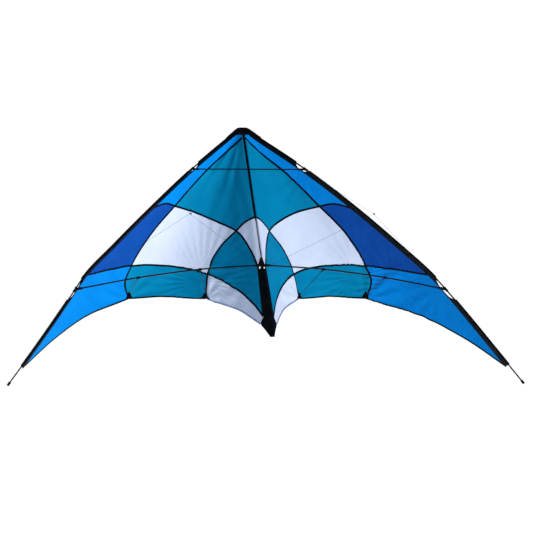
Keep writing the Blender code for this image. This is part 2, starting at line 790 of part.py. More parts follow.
def trailing_fitting(name, side, corner, before, after, seat, back, axis):
    """A sewn-on corner patch with a seat for the tip of the standoff."""
    corner, before, after = (Vector(p) for p in (corner, before, after))
    left = corner + (before - corner).normalized() * PATCH_REACH
    right = corner + (after - corner).normalized() * PATCH_REACH
    top = corner + Vector((0, PATCH_HEIGHT))
    lift = Vector((0, 2 * MM))
    rows = []
    for share in (0.0, 0.33, 0.66, 1.0):
        narrow = 1 - 0.85 * share
        middle = (corner + lift).lerp(top, share)
        row = []
        for offset in (left - corner, Vector((0, 0)), right - corner):
            here, front = sail_front(*(middle + offset * narrow))
            row.append(mirrored(here + front * PATCH_BACK, side))
        rows.append(row)
    obj = cloth(name, rows, "webbing", PATCH_THICK)
    bore = STANDOFF_RADIUS + GAP
    seat_cup = add_object(
        name + "_seat", lambda bm: cup(bm, bore + CLIP_WALL, bore, CUP_DEPTH, CUP_BOTTOM, 8),
        "moulded", cutter=True)
    place(seat_cup, seat, back, axis)
    boolean(obj, seat_cup, "UNION")
    # The tip swings away from the sail about the spreader, through this opening.
    leaving = axis.cross(back) * side
    width = 4 * MM
    mouth = add_object(
        name + "_mouth",
        lambda bm: box(bm, (0.0, 2 * width), (-width, width), (CUP_BOTTOM, 3 * CUP_DEPTH)),
        "moulded", cutter=True)
    place(mouth, seat, back, leaving)
    return boolean(obj, mouth, "DIFFERENCE")


def build_bridle(word, side):
    """One cord from the upper to the lower connector, and one from the T."""
    tow = mirrored(TOW_POINT, side)
    upper, along_upper, _ = edge_frame(UPPER_CONNECTOR_SPAN, side)
    lower, _, _ = edge_frame(LOWER_CONNECTOR_SPAN, side)
    upper = upper + along_upper * (CONNECTOR_LENGTH / 2 + 4 * MM)
    to_upper, to_lower = (upper - tow).normalized(), (lower - tow).normalized()
    bend = [tow + to_upper * TOW_BEND, tow, tow + to_lower * TOW_BEND]
    curve = [bend[0].lerp(bend[1], s).lerp(bend[1].lerp(bend[2], s), s)
             for s in (0, 0.17, 0.33, 0.5, 0.67, 0.83, 1)]
    rod(f"{word}_main_bridle",
        straight(upper - to_upper * BRIDLE_START, curve[0], 4)[:-1] + curve
        + straight(curve[-1], lower - to_lower * BRIDLE_START, 4)[1:],
        BRIDLE_RADIUS, "cord")
    anchor, _ = spreader_at(ARM_START + ARM_LENGTH / 2, side)
    way = (tow - anchor).normalized()
    rod(f"{word}_centre_bridle",
        straight(anchor + way * BRIDLE_START, tow - way * TOW_GAP, 4), BRIDLE_RADIUS, "cord")
    knot = add_object(
        f"{word}_tow_knot",
        lambda bm: bmesh.ops.create_uvsphere(bm, u_segments=10, v_segments=6,
                                             radius=KNOT_RADIUS), "cord", True)
    knot.location = tow - (to_upper + to_lower).normalized() * (KNOT_RADIUS + TOW_GAP / 2)


# ---------------------------------------------------------------- middle of the kite


def strip_half(height):
    return smooth(STRIP_HALF, position(STRIP_HALF, height, 1)).x


def build_middle():
    spine_direction = plane_to_world(0, 1, 0)
    bottom = plane_to_world(0, SPINE_BOTTOM, SPINE_BACK)
    spine = add_object(
        "spine",
        lambda bm: lathe(bm, ((SPAR_RADIUS, 0), (SPAR_RADIUS, SPINE_TOP - SPINE_BOTTOM)), 12),
        "carbon", True)
    place(spine, bottom, spine_direction)

    rows = []
    steps = 8
    for i in range(steps + 1):
        height = STRIP_TOP + (STRIP_BOTTOM - STRIP_TOP) * i / steps
        half = strip_half(height)
        rows.append([on_sail(half * s, height) for s in STRIP_SHARES])
    cloth("keel_strip", rows, "webbing")

    rows = [[on_sail(half * s, height) for s in STRIP_SHARES] for height, half in TAIL_OUTLINE]
    cloth("tail_patch", rows, "webbing", 1.4 * CLOTH)

    bore = SPAR_RADIUS + GAP
    tee = tube("centre_tee", plane_to_world(0, -TEE_HEIGHT / 2, SPINE_BACK), spine_direction,
               TEE_HEIGHT, bore, bore + TEE_WALL, "moulded", 14)
    half = TEE_BOSS_WIDTH / 2
    boss = add_object(
        "centre_tee_boss",
        lambda bm: box(bm, (bore + 0.8 * MM, SPINE_BACK + TEE_FRONT), (-half, half),
                       (-TEE_BOSS_HEIGHT / 2, TEE_BOSS_HEIGHT / 2)),
        "moulded", cutter=True)
    place(boss, plane_to_world(0, 0, SPINE_BACK), spine_direction)
    boolean(tee, boss, "UNION")

    outline = ((-0.018, 0.584), (-0.036, 0.5695), (-0.029, 0.558), (-0.010, 0.555),
               (0.010, 0.555), (0.029, 0.558), (0.036, 0.5695), (0.018, 0.584))
    nose = add_object(
        "nose_cap",
        lambda bm: plate(bm, outline, -NOSE_FRONT - NOSE_PLATE, -NOSE_FRONT), "webbing")
    roof = add_object(
        "nose_cap_roof",
        lambda bm: box(bm, (-NOSE_REAR, -NOSE_FRONT - NOSE_PLATE / 2), (-0.017, 0.017),
                       (0.5812, 0.5838)),
        "webbing", cutter=True)
    for obj in (nose, roof):
        place(obj, Vector(), spine_direction, plane_to_world(0, 0, -1))
    boolean(nose, roof, "UNION")


def build_upper_spreader(seat):
    reach, depth, height = edge_frame(UPPER_CONNECTOR_SPAN, 1)[0]
    reach -= seat + GAP
    cylinder("upper_spreader", Vector((-reach, depth, height)), Vector((1, 0, 0)),
             2 * reach, UPPER_SPREADER_RADIUS, "carbon", 10)


# ---------------------------------------------------------------- build

for old in list(bpy.data.objects):
    bpy.data.objects.remove(old)
KITE = bpy.data.collections.new("stunt_kite")
CUTTERS = bpy.data.collections.new("cutters")
for group in (KITE, CUTTERS):
    bpy.context.scene.collection.children.link(group)
CUTTERS.hide_render = True

build_middle()
for word, side in (("left", -1), ("right", 1)):
    build_sail(word, side)
    build_sleeve(word, side)
    build_spars(word, side)
    upper_seat, lower_seat = build_connectors(word, side)
    build_lower_spreader(word, side, lower_seat)
    build_standoffs(word, side)
    build_bridle(word, side)
build_upper_spreader(upper_seat)
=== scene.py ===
"""A dual line delta stunt kite: the looks of its sail, rods, fittings and bridle.

Metres, +Z up. The origin is the middle of the centre T, the pilot stands on the
-Y side and the nose leans away from the pilot. The sail is set out in the kite's
own plane, as span, height along the keel and depth behind the T.
"""

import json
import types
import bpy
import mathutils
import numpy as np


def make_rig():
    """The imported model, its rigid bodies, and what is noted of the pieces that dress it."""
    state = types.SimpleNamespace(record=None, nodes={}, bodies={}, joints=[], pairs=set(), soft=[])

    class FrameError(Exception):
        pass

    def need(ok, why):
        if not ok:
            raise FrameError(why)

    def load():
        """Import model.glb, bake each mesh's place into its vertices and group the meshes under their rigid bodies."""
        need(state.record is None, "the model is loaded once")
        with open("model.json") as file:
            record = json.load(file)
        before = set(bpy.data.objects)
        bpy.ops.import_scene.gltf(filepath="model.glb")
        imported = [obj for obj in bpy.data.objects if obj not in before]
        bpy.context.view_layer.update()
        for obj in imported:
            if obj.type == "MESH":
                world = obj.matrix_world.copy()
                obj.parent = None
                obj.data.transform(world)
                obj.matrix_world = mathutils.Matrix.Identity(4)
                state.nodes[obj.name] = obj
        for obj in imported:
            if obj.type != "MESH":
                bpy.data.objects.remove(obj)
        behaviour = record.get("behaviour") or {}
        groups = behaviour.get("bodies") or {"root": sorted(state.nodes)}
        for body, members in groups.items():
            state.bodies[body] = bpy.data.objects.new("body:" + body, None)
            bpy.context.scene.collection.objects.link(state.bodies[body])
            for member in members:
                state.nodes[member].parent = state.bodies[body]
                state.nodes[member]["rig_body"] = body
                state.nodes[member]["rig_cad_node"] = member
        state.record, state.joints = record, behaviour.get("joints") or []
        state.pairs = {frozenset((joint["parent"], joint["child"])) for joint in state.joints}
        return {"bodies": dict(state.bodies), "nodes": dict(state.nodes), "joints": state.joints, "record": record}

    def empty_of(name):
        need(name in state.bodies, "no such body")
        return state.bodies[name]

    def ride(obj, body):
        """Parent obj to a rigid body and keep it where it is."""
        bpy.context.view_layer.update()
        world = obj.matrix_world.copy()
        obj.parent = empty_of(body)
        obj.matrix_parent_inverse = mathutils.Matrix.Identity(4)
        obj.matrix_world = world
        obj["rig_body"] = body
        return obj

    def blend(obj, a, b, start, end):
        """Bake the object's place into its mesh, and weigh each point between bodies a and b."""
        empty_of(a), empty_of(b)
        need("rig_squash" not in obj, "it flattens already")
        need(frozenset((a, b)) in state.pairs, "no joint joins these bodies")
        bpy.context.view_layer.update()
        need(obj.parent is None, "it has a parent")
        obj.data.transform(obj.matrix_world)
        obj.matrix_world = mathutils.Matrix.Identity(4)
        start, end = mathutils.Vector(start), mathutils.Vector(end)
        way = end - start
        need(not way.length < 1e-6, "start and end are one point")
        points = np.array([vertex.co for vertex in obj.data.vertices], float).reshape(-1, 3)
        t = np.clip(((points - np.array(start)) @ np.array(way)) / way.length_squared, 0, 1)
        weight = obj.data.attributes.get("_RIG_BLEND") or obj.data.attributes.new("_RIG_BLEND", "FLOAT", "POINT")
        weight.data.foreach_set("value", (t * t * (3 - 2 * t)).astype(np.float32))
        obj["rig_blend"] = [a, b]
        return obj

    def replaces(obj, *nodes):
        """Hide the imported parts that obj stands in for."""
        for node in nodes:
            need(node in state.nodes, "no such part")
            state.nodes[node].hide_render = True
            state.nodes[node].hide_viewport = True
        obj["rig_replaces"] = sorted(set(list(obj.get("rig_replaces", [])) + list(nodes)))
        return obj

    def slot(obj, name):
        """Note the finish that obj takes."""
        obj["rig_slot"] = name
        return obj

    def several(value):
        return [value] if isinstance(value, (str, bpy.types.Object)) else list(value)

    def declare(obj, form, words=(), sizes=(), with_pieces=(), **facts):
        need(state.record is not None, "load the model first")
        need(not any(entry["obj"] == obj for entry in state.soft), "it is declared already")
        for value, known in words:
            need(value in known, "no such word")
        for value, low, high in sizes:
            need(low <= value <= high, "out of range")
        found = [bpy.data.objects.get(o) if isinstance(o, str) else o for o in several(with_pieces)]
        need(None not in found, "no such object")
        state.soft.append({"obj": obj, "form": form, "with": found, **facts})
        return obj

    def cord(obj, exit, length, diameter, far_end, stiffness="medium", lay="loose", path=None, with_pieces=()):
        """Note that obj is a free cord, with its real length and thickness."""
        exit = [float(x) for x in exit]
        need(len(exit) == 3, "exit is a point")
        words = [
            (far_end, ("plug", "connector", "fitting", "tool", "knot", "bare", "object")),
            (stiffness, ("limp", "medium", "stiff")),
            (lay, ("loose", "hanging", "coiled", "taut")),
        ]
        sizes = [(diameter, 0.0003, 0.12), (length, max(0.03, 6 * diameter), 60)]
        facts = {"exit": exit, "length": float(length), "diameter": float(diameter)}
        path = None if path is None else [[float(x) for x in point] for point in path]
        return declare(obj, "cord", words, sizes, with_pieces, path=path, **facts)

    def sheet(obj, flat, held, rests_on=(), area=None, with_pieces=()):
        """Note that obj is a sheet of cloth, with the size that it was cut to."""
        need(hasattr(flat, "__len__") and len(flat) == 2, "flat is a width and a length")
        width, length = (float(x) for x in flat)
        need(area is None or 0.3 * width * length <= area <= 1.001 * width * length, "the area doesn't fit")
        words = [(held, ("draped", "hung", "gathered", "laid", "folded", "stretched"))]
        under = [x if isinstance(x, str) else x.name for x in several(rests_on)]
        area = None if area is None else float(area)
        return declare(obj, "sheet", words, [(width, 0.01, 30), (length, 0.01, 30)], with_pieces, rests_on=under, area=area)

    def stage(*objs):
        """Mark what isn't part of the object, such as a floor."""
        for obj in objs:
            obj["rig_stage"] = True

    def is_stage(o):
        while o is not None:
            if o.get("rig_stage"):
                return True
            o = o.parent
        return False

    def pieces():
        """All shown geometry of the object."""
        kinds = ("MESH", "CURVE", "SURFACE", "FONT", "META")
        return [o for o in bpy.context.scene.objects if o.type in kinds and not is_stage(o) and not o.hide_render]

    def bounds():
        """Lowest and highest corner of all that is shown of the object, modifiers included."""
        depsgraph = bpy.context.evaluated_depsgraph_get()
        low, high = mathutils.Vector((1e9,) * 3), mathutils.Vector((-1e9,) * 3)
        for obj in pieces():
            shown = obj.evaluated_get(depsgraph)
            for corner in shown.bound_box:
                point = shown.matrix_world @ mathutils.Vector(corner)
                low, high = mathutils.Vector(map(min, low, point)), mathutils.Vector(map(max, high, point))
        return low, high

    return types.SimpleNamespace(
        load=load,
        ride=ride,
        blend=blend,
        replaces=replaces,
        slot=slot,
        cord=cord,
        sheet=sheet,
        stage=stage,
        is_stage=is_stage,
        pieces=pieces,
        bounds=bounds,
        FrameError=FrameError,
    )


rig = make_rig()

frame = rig.load()
CAD_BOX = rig.bounds()

import json
import logging
import math
from bisect import bisect_right
from collections.abc import Iterable, Sequence
from dataclasses import dataclass, field
from enum import Enum
from typing import ClassVar

import bmesh
import bpy
from mathutils import Vector, noise

LOG = logging.getLogger("stunt_kite")
MM = 0.001
Plan = tuple[float, float]
Colour = tuple[float, float, float]
Grid = list[list[Vector]]
Marks = list[list[Plan]]


class Wing(Enum):
    """The two halves of the kite, as the pilot sees them."""

    LEFT = -1
    RIGHT = 1

    @property
    def word(self) -> str:
        """The wing's name as it stands in piece names."""
        return self.name.lower()

    @property
    def body(self) -> str:
        """The body that this wing's pieces ride on."""
        return f"{self.word}_wing"

    def mirror(self, point: Sequence[float]) -> Vector:
        """A right wing point carried over to this wing."""
        return Vector((point[0] * self.value, point[1], point[2]))


def smoothstep(value: float) -> float:
    """A soft step from 0 to 1 as the value goes from 0 to 1."""
    held = min(max(value, 0.0), 1.0)
    return held * held * (3.0 - 2.0 * held)


def soft_least(first: float, second: float, rounding: float) -> float:
    """The smaller of two values, eased from one to the other."""
    return first - rounding * math.log1p(math.exp((first - second) / rounding))


def run_length(points: Sequence[Vector]) -> float:
    """Length of a line through the points, in metres."""
    return sum((b - a).length for a, b in zip(points, points[1:]))


def straight(start: Sequence[float], end: Sequence[float], cells: int) -> list[Vector]:
    """Evenly spaced points from start to end, both kept."""
    a, b = Vector(start), Vector(end)
    return [a.lerp(b, i / cells) for i in range(cells + 1)]


# ---------------------------------------------------------------- the kite's form


@dataclass(frozen=True)
class Line:
    """A smooth line through set points of two or three coordinates."""

    points: tuple[tuple[float, ...], ...]

    def at(self, place: float) -> Vector:
        """The point at a place, which is counted in the line's set points.

        Args:
            place: 0 at the first set point, 1 at the second and so on.

        Returns:
            The point, with as many coordinates as the set points have.
        """
        last = len(self.points) - 1
        i = min(max(int(place), 0), last - 1)
        f = place - i
        b, c = Vector(self.points[i]), Vector(self.points[i + 1])
        a = Vector(self.points[i - 1]) if i else b * 2 - c
        d = Vector(self.points[i + 2]) if i + 2 <= last else c * 2 - b
        ab, bc, cd = (max(way.length, 1e-6) for way in (b - a, c - b, d - c))
        leaving = ((c - b) / bc * ab + (b - a) / ab * bc) * (bc / (ab + bc))
        coming = ((d - c) / cd * bc + (c - b) / bc * cd) * (bc / (bc + cd))
        ff, fff = f * f, f * f * f
        return (b * (2 * fff - 3 * ff + 1) + leaving * (fff - 2 * ff + f)
                + c * (3 * ff - 2 * fff) + coming * (fff - ff))

    def place_of(self, value: float, axis: int = 0) -> float:
        """Where along the line its coordinate on the axis has this value.

        Args:
            value: The coordinate that is looked for.
            axis: 0 for the first coordinate, 1 for the second.

        Returns:
            The place, counted in the line's set points.
        """
        rising = self.points[-1][axis] > self.points[0][axis]
        low, high = 0.0, float(len(self.points) - 1)
        for _ in range(40):
            middle = (low + high) / 2
            if (self.at(middle)[axis] < value) == rising:
                low = middle
            else:
                high = middle
        return (low + high) / 2

    def run(self, start: float, end: float, cells: int) -> list[Vector]:
        """Evenly spaced points along a piece of the line.

        Args:
            start: Place where the piece begins.
            end: Place where it ends.
            cells: Number of steps between the points.

        Returns:
            One point more than cells, both ends kept.
        """
        fine = [self.at(start + (end - start) * i / 160) for i in range(161)]
        along = [0.0]
        for a, b in zip(fine, fine[1:]):
            along.append(along[-1] + (b - a).length)
        kept = []
        for n in range(cells + 1):
            want = along[-1] * n / cells
            i = min(max(bisect_right(along, want) - 1, 0), 159)
            step = along[i + 1] - along[i]
            kept.append(fine[i].lerp(fine[i + 1], (want - along[i]) / step if step else 0.0))
        return kept


@dataclass(frozen=True)
class Fan:
    """Shallow folds that spread out from a point where the cloth is held."""

    centre: Plan
    count: float
    depth: float
    reach: float
    turn: float
    wings: tuple[Wing, ...] = (Wing.LEFT, Wing.RIGHT)

    def lift(self, span: float, height: float, wing: Wing) -> float:
        """How far the folds push the cloth back at a point of the wing.

        Args:
            span: Distance out from the spine.
            height: Height along the keel.
            wing: The wing that the point lies on.

        Returns:
            The distance, which is less than zero where a fold stands forward.
        """
        if wing not in self.wings:
            return 0.0
        across, up = span - self.centre[0], height - self.centre[1]
        away = math.hypot(across, up)
        angle = math.atan2(across, up)
        fading = math.exp(-((away / self.reach) ** 2)) * smoothstep(away / (0.3 * self.reach))
        wave = math.sin(self.count * angle + self.turn + 1.2 * math.sin(2.3 * angle + self.turn))
        return self.depth * fading * wave


@dataclass
class SailForm:
    """The billowed surface of the sail, and the line of its leading edge."""

    lean: float = math.radians(21.0)
    leading_edge: tuple[tuple[float, float, float], ...] = (
        (0.024, 0.219, 0.529), (0.242, 0.150, 0.378), (0.418, 0.100, 0.240),
        (0.600, 0.060, 0.085), (0.753, 0.029, -0.055), (0.787, 0.016, -0.096),
        (1.020, -0.040, -0.380), (1.100, -0.052, -0.476))
    apex: float = 0.590
    keel_back: float = 8.5 * MM
    keel_flat: float = 20 * MM
    billow: float = 1.10
    flap: float = 10 * MM
    slack: float = 2.4 * MM
    pleat: float = 0.9 * MM
    pleat_pitch: float = 6.5 * MM
    pleat_reach: float = 75 * MM
    keel_calm: float = 6 * MM
    keel_fade: float = 70 * MM
    edge_calm: float = 20 * MM
    edge_fade: float = 60 * MM
    fans: tuple[Fan, ...] = (
        Fan((0.0, 0.580), 24.0, 2.6 * MM, 0.34, 0.4),
        Fan((0.0, 0.580), 41.0, 1.2 * MM, 0.24, 2.0),
        Fan((0.198, -0.083), 9.0, 2.4 * MM, 0.16, 0.9),
        Fan((0.504, -0.064), 10.0, 2.8 * MM, 0.20, 2.2),
        Fan((0.770, -0.075), 11.0, 2.2 * MM, 0.19, 1.1),
        Fan((0.240, 0.395), 10.0, 1.6 * MM, 0.13, 0.2),
        Fan((0.205, -0.010), 34.0, 1.5 * MM, 0.27, 0.9, (Wing.LEFT,)),
        Fan((0.470, 0.020), 31.0, 1.5 * MM, 0.20, 2.2, (Wing.RIGHT,)),
        Fan((0.620, -0.030), 33.0, 1.9 * MM, 0.26, 3.0, (Wing.RIGHT,)),
        Fan((0.035, -0.010), 14.0, 1.5 * MM, 0.20, 1.7),
    )
    edge_plan: Line = field(init=False)
    edge_table: list[tuple[float, float, float]] = field(init=False)

    def __post_init__(self) -> None:
        """Sets out the leading edge in the kite's plane, and a table to read it from."""
        self.edge_plan = Line(tuple(self.to_plane(p) for p in self.leading_edge))
        places = (i / 60 for i in range(60 * (len(self.leading_edge) - 1) + 1))
        found = [self.edge_plan.at(place) for place in places]
        self.edge_table = sorted((p.y, p.x, p.z) for p in found)

    def to_world(self, span: float, height: float, back: float) -> Vector:
        """A right wing point given in the kite's own plane.

        Args:
            span: Distance out from the spine.
            height: Height along the keel.
            back: Depth behind the T.

        Returns:
            The point in the kite's frame.
        """
        return Vector((span,
                       height * math.sin(self.lean) + back * math.cos(self.lean),
                       height * math.cos(self.lean) - back * math.sin(self.lean)))

    def to_plane(self, point: Sequence[float]) -> tuple[float, float, float]:
        """Span, height along the keel and depth of a world point.

        Args:
            point: A point in the kite's frame.

        Returns:
            The three measures, in that order.
        """
        x, y, z = point
        return (x, y * math.sin(self.lean) + z * math.cos(self.lean),
                y * math.cos(self.lean) - z * math.sin(self.lean))

    def edge_at(self, height: float) -> Plan:
        """Span and depth of the leading edge at a height along the keel.

        Args:
            height: Height along the keel.

        Returns:
            Span and depth, in that order.
        """
        top = self.edge_table[-1]
        if height >= top[0]:
            return top[1] * max(self.apex - height, 0.0) / (self.apex - top[0]), top[2]
        i = min(max(bisect_right(self.edge_table, (height,)), 1), len(self.edge_table) - 1)
        low, high = self.edge_table[i - 1], self.edge_table[i]
        share = (height - low[0]) / (high[0] - low[0])
        return (low[1] + (high[1] - low[1]) * share, low[2] + (high[2] - low[2]) * share)

    def depth(self, span: float, height: float) -> float:
        """How far the smooth sail lies behind the T.

        Args:
            span: Distance out from the spine.
            height: Height along the keel.

        Returns:
            The distance, which grows from the keel to the billow and falls again to the edge.
        """
        edge_span, edge_back = self.edge_at(height)
        reach = math.hypot(span, self.keel_flat) - self.keel_flat
        full = math.hypot(edge_span, self.keel_flat) - self.keel_flat
        share = reach / max(full, MM)
        return (self.keel_back * (1 - share) + edge_back * share
                + self.billow * (self.apex - height) * share * (1 - share))

    def folds(self, span: float, height: float, wing: Wing) -> float:
        """How far folds and slack push the cloth back from the smooth sail.

        Args:
            span: Distance out from the spine.
            height: Height along the keel.
            wing: The wing that the point lies on.

        Returns:
            The distance, which is nothing at the leading edge and the spine.
        """
        edge_span, _ = self.edge_at(height)
        calm = (smoothstep((span - self.keel_calm) / self.keel_fade)
                * smoothstep((edge_span - span - self.edge_calm) / self.edge_fade))
        keel = (smoothstep(span / (2 * self.keel_calm))
                * math.exp(-((span / self.pleat_reach) ** 2)))
        soft = noise.noise(Vector((span * 9, height * 7, wing.value * 5.3)))
        wave = math.sin(span / self.pleat_pitch + 2.2 * math.sin(height * 9))
        fans = sum(fan.lift(span, height, wing) for fan in self.fans)
        return calm * (fans + self.slack * soft) + self.pleat * keel * wave

    def point(self, plan: Sequence[float], wing: Wing, lift: float = 0.0) -> Vector:
        """A point of the sail with its folds.

        Args:
            plan: Span and height along the keel.
            wing: The wing it lies on.
            lift: How far in front of the cloth the point stands.

        Returns:
            The point in the kite's frame.
        """
        span, height = max(plan[0], 0.0), plan[1]
        back = self.depth(span, height) + self.folds(span, height, wing)
        here = wing.mirror(self.to_world(plan[0], height, back))
        return here + self.front(plan, wing) * lift if lift else here

    def front(self, plan: Sequence[float], wing: Wing) -> Vector:
        """The way out of the sail towards the pilot.

        Args:
            plan: Span and height along the keel.
            wing: The wing that the point lies on.

        Returns:
            A direction of length one, square to the cloth.
        """
        step = MM
        span = max(plan[0], step)
        here = self.point((span, plan[1]), wing)
        across = self.point((span + step, plan[1]), wing) - here
        up = self.point((span, plan[1] + step), wing) - here
        out = across.cross(up).normalized()
        return -out if out.y > 0 else out

    def inset(self, place: float, inset: float) -> Vector:
        """Plan point inside the leading edge by the inset, at a place along it.

        Args:
            place: Place along the leading edge, in its set points.
            inset: Distance in from the edge.

        Returns:
            Span and height along the keel.
        """
        here = self.edge_plan.at(place).xy
        ahead = (self.edge_plan.at(place + 0.01).xy
                 - self.edge_plan.at(place - 0.01).xy).normalized()
        inward = Vector((ahead.y, -ahead.x))
        return here + (-inward if inward.x > 0 else inward) * inset

    def edge_frame(self, span: float, wing: Wing) -> tuple[Vector, Vector, Vector]:
        """Spar centre at a span, its direction to the tip, and the sleeve flap's reach.

        Args:
            span: Distance out from the spine.
            wing: The wing, left or right.

        Returns:
            The centre, the direction and the reach, in that order.
        """
        place = self.edge_plan.place_of(span)
        centre = self.to_world(*self.edge_plan.at(place))
        along = (self.to_world(*self.edge_plan.at(place + 0.01))
                 - self.to_world(*self.edge_plan.at(place - 0.01))).normalized()
        inner = self.inset(place, self.flap)
        reach = self.to_world(inner.x, inner.y, self.depth(inner.x, inner.y)) - centre
        reach = reach - along * reach.dot(along)
        return wing.mirror(centre), wing.mirror(along), wing.mirror(reach)


# ---------------------------------------------------------------- shader effects


class Nodes:
    """The nodes of one tree, added and joined in short calls."""

    def __init__(self, tree: bpy.types.NodeTree) -> None:
        """Keeps the tree that the nodes go into."""
        self.tree = tree

    def put(self, socket: bpy.types.NodeSocket, value: object) -> None:
        """Joins the value to the socket if it is a socket, and otherwise sets it.

        Args:
            socket: An input of a node.
            value: Another socket, or a plain value.
        """
        if isinstance(value, bpy.types.NodeSocket):
            self.tree.links.new(value, socket)
        else:
            socket.default_value = value

    def add(self, kind: str, settings: dict[str, object] | None = None,
            **values: object) -> bpy.types.Node:
        """A new node.

        Args:
            kind: Blender's name for the node.
            settings: Its own settings.
            values: Its inputs by name, with _ for a space.

        Returns:
            The node.
        """
        node = self.tree.nodes.new(kind)
        for name, value in (settings or {}).items():
            setattr(node, name, value)
        for name, value in values.items():
            self.put(node.inputs[name.replace("_", " ")], value)
        return node

    def math(self, operation: str, *values: object) -> bpy.types.NodeSocket:
        """The result of a Math node on the values.

        Args:
            operation: Blender's name for the operation.
            values: Its inputs in order.

        Returns:
            The result.
        """
        node = self.add("ShaderNodeMath", {"operation": operation})
        for socket, value in zip(node.inputs, values):
            self.put(socket, value)
        return node.outputs[0]

    def mix(self, share: object, low: object, high: object) -> bpy.types.NodeSocket:
        """A mix of two colours by a share that changes over the surface.

        Args:
            share: 0 for the first colour and 1 for the second.
            low: The first colour.
            high: The second colour.

        Returns:
            The mixed colour.
        """
        node = self.add("ShaderNodeMix", {"data_type": "RGBA"})
        for socket, value in ((0, share), (6, low), (7, high)):
            self.put(node.inputs[socket], value)
        return node.outputs[2]

    def ranged(self, value: object, low: float, high: float) -> bpy.types.NodeSocket:
        """The value as a share of the way from low to high.

        Args:
            value: The value.
            low: Where the share begins.
            high: Where the share is full.

        Returns:
            The share, from 0 to 1 with soft ends.
        """
        node = self.add("ShaderNodeMapRange", {"interpolation_type": "SMOOTHSTEP"},
                        Value=value, From_Min=low, From_Max=high)
        return node.outputs[0]

    def bump(self, height: object, distance: float, strength: float,
             normal: object | None = None) -> bpy.types.NodeSocket:
        """A surface normal disturbed by a height, on top of another one if given.

        Args:
            height: The height over the surface.
            distance: How tall a height of 1 is.
            strength: How much of it shows.
            normal: The normal to start from.

        Returns:
            The new normal.
        """
        node = self.add("ShaderNodeBump", Height=height, Distance=distance, Strength=strength)
        if normal is not None:
            self.put(node.inputs["Normal"], normal)
        return node.outputs[0]


class Effect:
    """A shader node group that several materials share."""

    def __init__(self, name: str, sizes: dict[str, float], results: Sequence[str]) -> None:
        """Makes the group with its Surface input, its sizes and its results.

        Args:
            name: The group's name.
            sizes: Its inputs, with a first value for each.
            results: Its outputs.
        """
        self.tree = bpy.data.node_groups.new(name, "ShaderNodeTree")
        sockets = self.tree.interface
        sockets.new_socket("Surface", in_out="INPUT", socket_type="NodeSocketVector")
        for label, value in sizes.items():
            made = sockets.new_socket(label, in_out="INPUT", socket_type="NodeSocketFloat")
            made.default_value = value
        for label in results:
            sockets.new_socket(label, in_out="OUTPUT", socket_type="NodeSocketFloat")
        self.nodes = Nodes(self.tree)
        self.given = self.nodes.add("NodeGroupInput").outputs
        self.results = self.nodes.add("NodeGroupOutput").inputs

    def put(self, label: str, value: bpy.types.NodeSocket) -> None:
        """Sends a value out of the group."""
        self.nodes.put(self.results[label], value)

    def place(self, nodes: Nodes, **values: object) -> bpy.types.NodeOutputs:
        """The group's results inside a material, with that material's own values."""
        return nodes.add("ShaderNodeGroup", {"node_tree": self.tree}, **values).outputs


